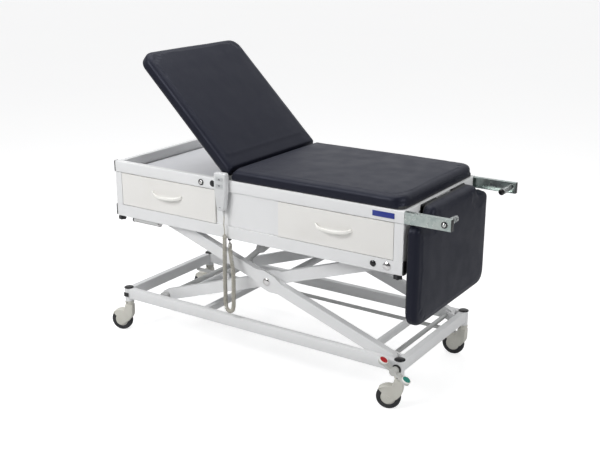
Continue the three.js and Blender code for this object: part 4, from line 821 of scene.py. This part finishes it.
def blow_up(made, shares):
    """Cover drawn in and blown out again by the cloth run, by no more than PAD_SWELL."""
    mesh = made.data
    normals = [v.normal.copy() for v in mesh.vertices]
    for v, share, n in zip(mesh.vertices, shares, normals):
        v.co -= n * PAD_INSET * share
    start = [v.co.copy() for v in mesh.vertices]
    blown = simulate(made, [i for i, share in enumerate(shares) if share < 0.02])
    for v, a, b, share, n in zip(mesh.vertices, start, blown, shares, normals):
        out = (b - a).dot(n) * share
        along = (b - a) * share - n * out
        v.co = a + n * max(PAD_INSET * 0.6 * share, min(PAD_SWELL, out)) + along * 0.3
    mesh.update()


def crease(mesh, reach, across):
    """Uneven stuffing on top, and folds low on the rounded corners."""
    first, second = (Vector(a) for a in across)
    lift = first.cross(second).normalized()
    for v, n in zip(mesh.vertices, [v.normal.copy() for v in mesh.vertices]):
        height, along = reach(v.co)
        a, b = n.dot(first), n.dot(second)
        upright = 1 - smooth_step(abs(n.dot(lift)), 0.5, 0.9)
        corner = 2 * abs(a * b) / max(a * a + b * b, 1e-6) * upright
        folds = 0.5 + 0.5 * math.cos(math.atan2(b, a) * FOLDS + 2.2 * noise.noise(v.co * 40))
        low = smooth_step(height, -9, -3) * (1 - smooth_step(height, 4, 16))
        uneven = noise.noise(v.co * 6.5) * 0.0007 + noise.noise(v.co * 19) * 0.00025
        v.co += n * (uneven * smooth_step(height, 8, 24) * smooth_step(along, 20, 60)
                     - FOLD_DEPTH * corner * folds * low * smooth_step(along, 60, 120))
    mesh.update()


def make_pad(node, body, reach, across, slab):
    """across is the pair of level directions that the folds at a rounded corner are told from."""
    made = make_skin(node, slab)
    blow_up(made, [free_share(reach(v.co)) for v in made.data.vertices])
    finer = made.modifiers.new("finer", "SUBSURF")
    finer.levels = finer.render_levels = 1
    mesh = applied(made)
    mesh.materials.clear()
    mesh.materials.append(LOOKS["pad"])
    crease(mesh, reach, across)
    mesh.shade_smooth()
    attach(made, body)
    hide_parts(node)


SEAT_SLAB = wrap_slab(rounded(SEAT_START, SEAT_END, SEAT_CORNER, "low"),
                      lambda u, v, h: at(u, v, SEAT_UNDER + h), SEAT_THICK)
BACK_SLAB = wrap_slab(rounded(BACK_START, BACK_END, BACK_CORNER, "high"),
                      lambda u, v, h: on_back(u, v, BACK_UNDER + h), BACK_THICK)
LEG_SLAB = wrap_slab(leg_outline(LEG_INSET), lambda u, v, h: at(LEG_UNDER + h, v, LEG_TOP - u), LEG_THICK)
make_pad("seat_cushion", "box", seat_reach, ((1, 0, 0), (0, 1, 0)), SEAT_SLAB)
make_pad("back_cushion", "back", back_reach, ((math.cos(LEAN), 0, -math.sin(LEAN)), (0, 1, 0)), BACK_SLAB)
make_pad("leg_cushion", "leg", leg_reach, ((0, 0, 1), (0, 1, 0)), LEG_SLAB)


# Finish of the CAD nodes: welded and smoothed, with narrow rounds in metres on sheet and board
SHEET_ROUND, HEAD_CORNER = 0.0008, 0.056
BOARD_HEAD_X, BOARD_SIDE_Y = -747, 317
ROUNDED = ["drawer_head_front", "drawer_foot_front", "tray_deck", "seat_board"]


def round_off(name, width):
    obj = nodes[name]
    add_weld(obj)
    add_flat(obj).delimit = {"MATERIAL"}
    edge = obj.modifiers.new("edge", "BEVEL")
    edge.width, edge.segments, edge.limit_method = width, 2, "ANGLE"
    edge.angle_limit = math.radians(50)
    edge.harden_normals = True


def soft_shading(name):
    obj = nodes[name]
    add_weld(obj)
    split = obj.modifiers.new("split", "EDGE_SPLIT")
    split.split_angle = math.radians(40)
    obj.data.shade_smooth()


def round_head_corners(width):
    """Round corners at the head end of the back's board, one bevel for each upright edge."""
    obj = nodes["back_board"]
    add_weld(obj)
    add_flat(obj)
    places = [level_back(v.co) for v in obj.data.vertices]
    for side, name in ((-1, "near corner"), (1, "far corner")):
        group = obj.vertex_groups.new(name=name)
        held = [i for i, (x, y, z) in enumerate(places) if x < BOARD_HEAD_X and y * side > BOARD_SIDE_Y]
        group.add(held, 1.0, "REPLACE")
        corner = obj.modifiers.new(name, "BEVEL")
        corner.limit_method, corner.vertex_group = "VGROUP", name
        corner.width, corner.segments = width, 10


round_head_corners(HEAD_CORNER)
for name in ROUNDED:
    round_off(name, SHEET_ROUND)
for name in nodes:
    if name not in ROUNDED:
        soft_shading(name)


# Casters: half-moon housing over the wheel, tyre on a cream rim, stepped collar with two pins
WHEEL_R, TRAIL = 50, 40
HOUSING_R, HOUSING_HALF, HOUSING_EDGE, LOBE_R = 53, 18.5, 6.0, 26.5
ROOM_R, ROOM_HALF = 51.3, 14.2
COLLAR_R, PIN_Z = 19.8, 140.5
COLLAR = [(17.6, 125), (18.6, 129), (18.9, 133), (18.2, 134), (18.2, 135), (20.3, 136), (21, 138.5),
          (21, 143), (20.3, 144.2), (18.6, 144.4), (18.6, 145.4), (20.4, 145.6), (20.4, 146.6), (19.8, 147)]
COLLAR_PIN = [(2.6, -2), (2.6, 1.9), (2.2, 2.6), (1.2, 2.8)]
TYRE_HALF = [(30.2, 11.4), (30.8, 12.3), (33, 12.9), (43.5, 12.7), (46.6, 11.6), (48.8, 9.4),
             (49.8, 6.2), (50, 2.4), (49.7, 1.9), (50, 1.4)]
RIM_HALF = [(5, 13.6), (24, 13.6), (27.4, 13.5), (29.4, 12.9), (30.2, 11.8), (30.3, 10.6)]
AXLE_CAP = [(9.2, -1.2), (9.2, 0.4), (8.4, 0.9), (5.4, 0.9), (5.0, 0.2), (3.4, 0.2)]


def mirrored(half):
    """A profile whose two halves are alike, from the upper half."""
    return [(r, -h) for r, h in half] + [(r, h) for r, h in reversed(half)]


def housing_outline():
    """Side view: over the wheel from the front of the collar, and down to a lobe round the axle."""
    outline = arc(-TRAIL, WHEEL_R, HOUSING_R, 141, 76, 18)
    outline += [(-19.5, 118), (-18, 128), (18, 128), (18.4, 100)]
    outline += [(18.2, 86), (16.5, 76), (12, 66), (4, 55), (-4, 46)]
    outline += arc(-TRAIL, WHEEL_R, LOBE_R, -24, -150, 14)
    outline += arc(-TRAIL, WHEEL_R, LOBE_R, -158, -212, 6)
    return [Vector((x, 0, z)) for x, z in outline]


def caster_matrix(place):
    x, y, swivel = CASTER_PLACES[place]
    return Matrix.Translation(at(x, y, 0)) @ Matrix.Rotation(math.radians(swivel), 4, "Z")


def axle(place):
    """Middle and direction of a wheel's axle."""
    turn = caster_matrix(place)
    return turn @ Vector((-TRAIL / 1000, 0, WHEEL_R / 1000)), turn.to_3x3() @ Vector((0, 1, 0))


def inset_outline(outline, amount):
    """A closed outline in the x and z directions that goes round clockwise, moved inwards."""
    count = len(outline)
    out = []
    for i, p in enumerate(outline):
        along = (outline[(i + 1) % count] - outline[i - 1]).normalized()
        inward = Vector((along.z, 0, -along.x))
        out.append(p + inward * amount)
    return out


def housing_rings():
    """Outlines across the housing, with its rims rounded over HOUSING_EDGE."""
    outline = housing_outline()
    flat = HOUSING_HALF - HOUSING_EDGE
    rings = []
    for k in range(-5, 6):
        bend = math.radians(18 * abs(k))
        inset = HOUSING_EDGE * (1 - math.cos(bend)) * 0.8
        y = flat + HOUSING_EDGE * math.sin(bend)
        for side in ((-1, 1) if k == 0 else (math.copysign(1, k),)):
            rings.append([p + Vector((0, y * side, 0)) for p in inset_outline(outline, inset)])
    return rings


def make_housing(place):
    turn = caster_matrix(place)
    rings = housing_rings()
    count = len(rings[0])
    last = (len(rings) - 1) * count
    verts = [turn @ (p / 1000) for ring in rings for p in ring]
    faces = []
    for i in range(0, last, count):
        for j in range(count):
            k = (j + 1) % count
            faces.append((i + j, i + count + j, i + count + k, i + k))
    faces += [tuple(range(count)), tuple(reversed(range(last, last + count)))]
    made = new_piece(f"housing_{place}", verts, faces, "cream", f"caster_{place}")
    middle, spin = axle(place)
    room_profile = [(ROOM_R, -ROOM_HALF), (ROOM_R, ROOM_HALF)]
    cutter_mesh = new_mesh("wheel_room", *lathe(room_profile, middle, spin, 72))
    cutter = new_object("wheel_room", cutter_mesh)
    fix_outward(made.data)
    fix_outward(cutter_mesh)
    room = made.modifiers.new("room", "BOOLEAN")
    room.operation, room.solver, room.object = "DIFFERENCE", "EXACT", cutter
    applied(made)
    bpy.data.objects.remove(cutter)
    sharpen(made, angle=38)
    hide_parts(f"caster_housing_{place}")


def make_collar(place):
    turn = caster_matrix(place)
    body = f"caster_{place}"
    turned(f"collar_{place}", COLLAR, turn.translation, (0, 0, 1), "cream", body, 40)
    for k in range(2):
        angle = 1.1 - 2.9 * k
        out = Vector((math.cos(angle), math.sin(angle), 0))
        spot = turn @ ((out * COLLAR_R + Vector((0, 0, PIN_Z))) / 1000)
        turned(f"collar_pin_{place}_{k}", COLLAR_PIN, spot, turn.to_3x3() @ out, "black", body, 14)


def make_caster(place):
    make_housing(place)
    make_collar(place)
    middle, spin = axle(place)
    tyre = turned(f"tyre_{place}", mirrored(TYRE_HALF), middle, spin, "tyre", f"wheel_{place}", 72)
    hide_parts(f"caster_wheel_{place}")
    turned(f"rim_{place}", mirrored(RIM_HALF), middle, spin, "cream", f"wheel_{place}", 56)
    cap = [(r, HOUSING_HALF + h) for r, h in AXLE_CAP]
    for side, name in ((-1, "near"), (1, "far")):
        turned(f"axle_cap_{place}_{name}", cap, middle, spin * side, "cream", f"caster_{place}", 32)


for place in CASTER_PLACES:
    make_caster(place)


# Drawer handles: slim crescents with flared feet, along the same bow as the CAD ones
HANDLE_Z, HANDLE_HALF, HANDLE_DROOP, HANDLE_OUT = 705, 80, 10 * 4 / 3, 26 * 4 / 3
HANDLE_STEPS, HANDLE_SIDES = 40, 20


def signed_power(value, power):
    return math.copysign(abs(value) ** power, value)


def handle_ring(ends, t):
    """Cross-section of the handle where the bow's Bezier curve is t along."""
    a, b, c, d = ends
    p = a * (1 - t) ** 3 + b * 3 * t * (1 - t) ** 2 + c * 3 * t * t * (1 - t) + d * t ** 3
    along = ((b - a) * (1 - t) ** 2 + (c - b) * 2 * t * (1 - t) + (d - c) * t * t).normalized()
    up = Vector((0, 0, 1))
    up = (up - along * up.dot(along)).normalized()
    depth = along.cross(up)
    flare = 1 - smooth_step(min(t, 1 - t), 0, 0.07)
    tall = 6.6 + 1.2 * math.sin(math.pi * t) + 1.6 * flare
    thick = 3.2 + 1.5 * math.sin(math.pi * t) ** 2 + 1.4 * flare
    ring = []
    for k in range(HANDLE_SIDES):
        turn = 2 * math.pi * k / HANDLE_SIDES
        u = signed_power(math.cos(turn), 0.75) * tall
        w = signed_power(math.sin(turn), 0.85) * thick
        ring.append(at(*(p + up * u + depth * w)))
    return ring


def make_handle(drawer, x):
    low, out = HANDLE_Z - HANDLE_DROOP, NEAR_FACE - HANDLE_OUT
    ends = [Vector((x - HANDLE_HALF, NEAR_FACE, HANDLE_Z)), Vector((x - HANDLE_HALF * 0.8, out, low)),
            Vector((x + HANDLE_HALF * 0.8, out, low)), Vector((x + HANDLE_HALF, NEAR_FACE, HANDLE_Z))]
    rings = [handle_ring(ends, i / HANDLE_STEPS) for i in range(HANDLE_STEPS + 1)]
    made = new_piece(f"bow_{drawer}", *loft(rings), "bow", drawer)
    fix_outward(made.data)
    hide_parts(f"{drawer}_handle")


make_handle("drawer_head", -430)
make_handle("drawer_foot", 414)


# Plates and rings that several of the pieces below are made of
def make_plate(name, middle, u, v, n, wide, tall, corner, thick, look, body, edge=0.4):
    """Rounded plate with a bevelled rim on a face; u and v are its directions and n points out."""
    u, v, n = Vector(u), Vector(v), Vector(n)
    rings = []
    for inset, height in [(0, 0), (0, thick - edge), (edge * 0.3, thick - edge * 0.3), (edge, thick)]:
        ring = []
        r = max(corner - inset, 0.05)
        for cx, cz, start in [(1, 1, 0), (-1, 1, 90), (-1, -1, 180), (1, -1, 270)]:
            across, high = cx * (wide / 2 - corner), cz * (tall / 2 - corner)
            for along, up in arc(across, high, r, start, start + 90, 6):
                ring.append(at(*(Vector(middle) + u * along + v * up + n * height)))
        rings.append(ring)
    made = new_piece(name, *loft(rings), look, body)
    fix_outward(made.data)
    sharpen(made, angle=35)
    return made


def near_plate(name, middle, *rest):
    """A plate on an upright face of the near side."""
    return make_plate(name, middle, (1, 0, 0), (0, 0, 1), (0, -1, 0), *rest)


def make_ring(name, profile, place, axis, look, body, steps=32):
    """Ring of a closed profile of (radius, height) about an axis."""
    verts, faces = lathe(profile + profile[:1], place, axis, steps)
    made = new_piece(name, verts[:-2], [f for f in faces if len(f) == 4], look, body)
    work = bmesh.new()
    work.from_mesh(made.data)
    bmesh.ops.remove_doubles(work, verts=work.verts, dist=1e-6)
    bmesh.ops.recalc_face_normals(work, faces=work.faces)
    work.to_mesh(made.data)
    work.free()
    sharpen(made, angle=40)
    return made


LABEL_X = 631
near_plate("blank_label", (LABEL_X, NEAR_FACE + 0.05, BAR_Z), 94, 22, 1.6, 0.9, "blue", "box")


# Domed caps on the posts, and bright domes on the scissor's centre bolts
CAP = [(21.4, 210.9), (22.1, 211.3), (22.3, 212.4), (21.5, 214.2), (18.6, 215.8), (13, 217), (6, 217.5)]
DOME = [(17.0, -0.6), (17.4, 0.4), (17.4, 1.8), (16.2, 3.9), (13.2, 5.6), (9, 6.8), (4.5, 7.4)]
DOME_SINK = 7
SIDES = (("near", -1), ("far", 1))

for end, x in (("head", -POST_X), ("foot", POST_X)):
    for side, out in SIDES:
        turned(f"post_cap_{side}_{end}", CAP, at(x, out * POST_Y, 0), (0, 0, 1), "gloss", "base", 44)
for side, out in SIDES:
    low, high = (Vector(c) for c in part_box(f"centre_pivot_{side}"))
    middle = (low + high) / 2
    middle.y = (low.y if out < 0 else high.y) - out * DOME_SINK / 1000
    turned(f"pivot_dome_{side}", DOME, middle, (0, out, 0), "chrome", "outer_arms", 44)


# Pull-out bars: bolt on a dark washer outside, rings on a pin inside, dark edge of the end plate
BAR_FACE, BAR_END_X, BAR_END_Y = 320.7, 904.1, 310.5
PIN_Y, FIRST_RING_Y, RING_STEP, TIP_Y = 303, 296, 19, 220.4
WASHER = [(8.2, 0.1), (12.6, 0.1), (12.9, 0.8), (12.2, 1.9), (8.6, 2.2), (8.2, 1.4)]
BOLT = [(8.0, 0.2), (8.0, 3.2), (7.2, 4.6), (5.2, 5.5), (4.0, 5.7), (3.7, 4.4), (2.4, 4.2)]
PEG_PIN = [(5.4, 0), (5.4, 74), (4.6, 76), (2, 77)]
PEG_RING = [(10.6, 0), (12.5, 0.1), (12.8, 1.2), (12.5, 2.3), (10.6, 2.4)]
PEG_TIP = [(11.4, 0), (12.7, 0.5), (12.9, 4), (11.8, 6.6), (8, 8), (3, 8.4)]


def make_bar_fittings(side, out):
    body = f"bar_{side}"
    face = at(BOLT_X, out * BAR_FACE, BAR_Z)
    make_ring(f"bar_washer_{side}", WASHER, face, (0, out, 0), "gloss", body)
    turned(f"bar_bolt_{side}", BOLT, face, (0, out, 0), "chrome", body, 28)
    turned(f"peg_pin_{side}", PEG_PIN, at(BOLT_X, out * PIN_Y, BAR_Z), (0, -out, 0), "steel", body, 20)
    for k in range(4):
        spot = at(BOLT_X, out * (FIRST_RING_Y - RING_STEP * k), BAR_Z)
        make_ring(f"peg_ring_{side}_{k}", PEG_RING, spot, (0, -out, 0), "sleeve", body, 28)
    if out > 0:
        turned("peg_tip_far", PEG_TIP, at(BOLT_X, TIP_Y, BAR_Z), (0, -1, 0), "gloss", body, 28)
    make_plate(f"bar_end_{side}", (BAR_END_X, out * BAR_END_Y, BAR_Z), (0, 1, 0), (0, 0, 1), (1, 0, 0),
               21.2, 45.2, 1.2, 1.3, "gloss", body)


for side, out in SIDES:
    make_bar_fittings(side, out)


# Brake lever: pale rims round the pads, ribs across the lever, dark friction ring on the shaft
PAD_RIM = [(14.2, 4.7), (18.9, 4.7), (19.3, 6.4), (18.9, 10.4),
           (17.9, 11.4), (16.4, 11.4), (15.9, 10.2), (15.6, 8)]
PAD_TOP = [(15.7, 8.6), (15.7, 10.3), (14.6, 11.1), (10, 11.6), (4, 11.8)]
FRICTION_RING = [(15.3, 0), (19.8, 0), (20.4, 1), (20.4, 7), (19.8, 8), (15.3, 8)]
PAD_REACH, FRICTION_Y = 58, -332.6
RIBS, FIRST_RIB, RIB_STEP, RIB_UP = 9, -34, 8.5, 4.3
LEVER = Matrix.Translation((POST_X, PEDAL_Y, SHAFT_Z)) @ Matrix.Rotation(math.radians(30), 4, "Y")
LEVER_ALONG, LEVER_UP = (LEVER.to_3x3() @ Vector(a) for a in ((1, 0, 0), (0, 0, 1)))

for look, x in (("red", -PAD_REACH), ("green", PAD_REACH)):
    foot = at(*(LEVER @ Vector((x, 0, 0))))
    make_ring(f"pad_rim_{look}", PAD_RIM, foot, LEVER_UP, "bow", "brake_pedal", 40)
    turned(f"pad_top_{look}", PAD_TOP, foot, LEVER_UP, look, "brake_pedal", 40)
for k in range(RIBS):
    spot = LEVER @ Vector((FIRST_RIB + RIB_STEP * k, 0, RIB_UP))
    make_plate(f"lever_rib_{k}", spot, LEVER_ALONG, (0, 1, 0), LEVER_UP,
               3.2, 19, 1.5, 1.5, "lever", "brake_pedal")
make_ring("friction_ring", FRICTION_RING, at(POST_X, FRICTION_Y, SHAFT_Z),
          (0, 1, 0), "gloss", "brake_pedal", 40)


# Handset: shell with rounded rims and a waist, panel behind the keys, arrows, and a thin dark plate on the
# face whose grey is painted shade for a slot
HANDSET_TOP, HANDSET_WAIST, HANDSET_ROUND = 852, 779.1, 9
TOP_HALF, WAIST_HALF, FOOT_HALF = 30, 30, 18
HANDSET_FACE, ARROW_FACE = -351.9, -353.8
PANEL_Z, UP_Z, DOWN_Z, SLOT_Z = 812, 826, 798, 705
SHELL_DEPTHS = [(-326.5, 1.2), (-327.6, 0.3), (-329, 0), (-338.6, 0), (-338.9, 0.5), (-339.4, 0.5),
                (-339.7, 0), (-347, 0.2), (-350, 1.2), (-351.5, 2.8), (-352, 4.6)]
ARROW_HALF, ARROW_TALL = 6.5, 3.6


def handset_outline():
    """Front view: round corners, with a corner on each side at the waist, where the shell tapers."""
    r = HANDSET_ROUND
    top, foot = HANDSET_TOP - r, HANDSET_FOOT + r
    outline = arc(HANDSET_X - TOP_HALF + r, top, r, 180, 90, 6)
    outline += arc(HANDSET_X + TOP_HALF - r, top, r, 90, 0, 6)
    outline.append((HANDSET_X + WAIST_HALF, HANDSET_WAIST))
    outline += arc(HANDSET_X + FOOT_HALF - r, foot, r, 0, -90, 6)
    outline += arc(HANDSET_X - FOOT_HALF + r, foot, r, -90, -180, 6)
    outline.append((HANDSET_X - WAIST_HALF, HANDSET_WAIST))
    return [Vector((x, 0, z)) for x, z in outline]


def make_shell():
    outline = handset_outline()
    rings = [[at(p.x, y, p.z) for p in inset_outline(outline, inset)] for y, inset in SHELL_DEPTHS]
    made = new_piece("handset_shell", *loft(rings), "handset", "box")
    fix_outward(made.data)
    sharpen(made, angle=35)
    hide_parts("handset_body")


def make_arrow(name, z, tall, body):
    """Raised triangle on a key; it points down where tall is below 0."""
    outline = [(-ARROW_HALF, -tall), (ARROW_HALF, -tall), (0, tall)]
    rings = []
    for depth, share in ((-0.15, 1.0), (0.35, 1.0), (0.55, 0.86)):
        rings.append([at(HANDSET_X + u * share, ARROW_FACE - depth, z + w * share) for u, w in outline])
    made = new_piece(name, *loft(rings), "mark", body, smooth=False)
    fix_outward(made.data)


make_shell()
near_plate("key_panel", (HANDSET_X, HANDSET_FACE, PANEL_Z), 44, 56, 6, 0.16, "panel", "box", 0.05)
make_arrow("arrow_up", UP_Z, ARROW_TALL, "button_up")
make_arrow("arrow_down", DOWN_Z, -ARROW_TALL, "button_down")
# Not an opening: a thin dark plate whose grey is painted shade of a slot
near_plate("handset_slot_painted_shade", (HANDSET_X, HANDSET_FACE, SLOT_Z), 9, 2.6, 1.2, 0.5, "mark", "box")


# Hinge screws of the leg section
SCREW = [(3.6, 0), (3.6, 0.5), (2.8, 1.2), (1.2, 1.5)]
SCREW_X, SCREW_Z, FIRST_SCREW_Y, SCREW_STEP = 722.1, 786, 95, 37.5

for side, out in SIDES:
    for k in range(3):
        spot = at(SCREW_X, out * (FIRST_SCREW_Y + SCREW_STEP * k), SCREW_Z)
        turned(f"hinge_screw_{side}_{k}", SCREW, spot, (1, 0, 0), "steel", "box", 16)


# Overall size of the dressed model, without the floor
low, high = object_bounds()
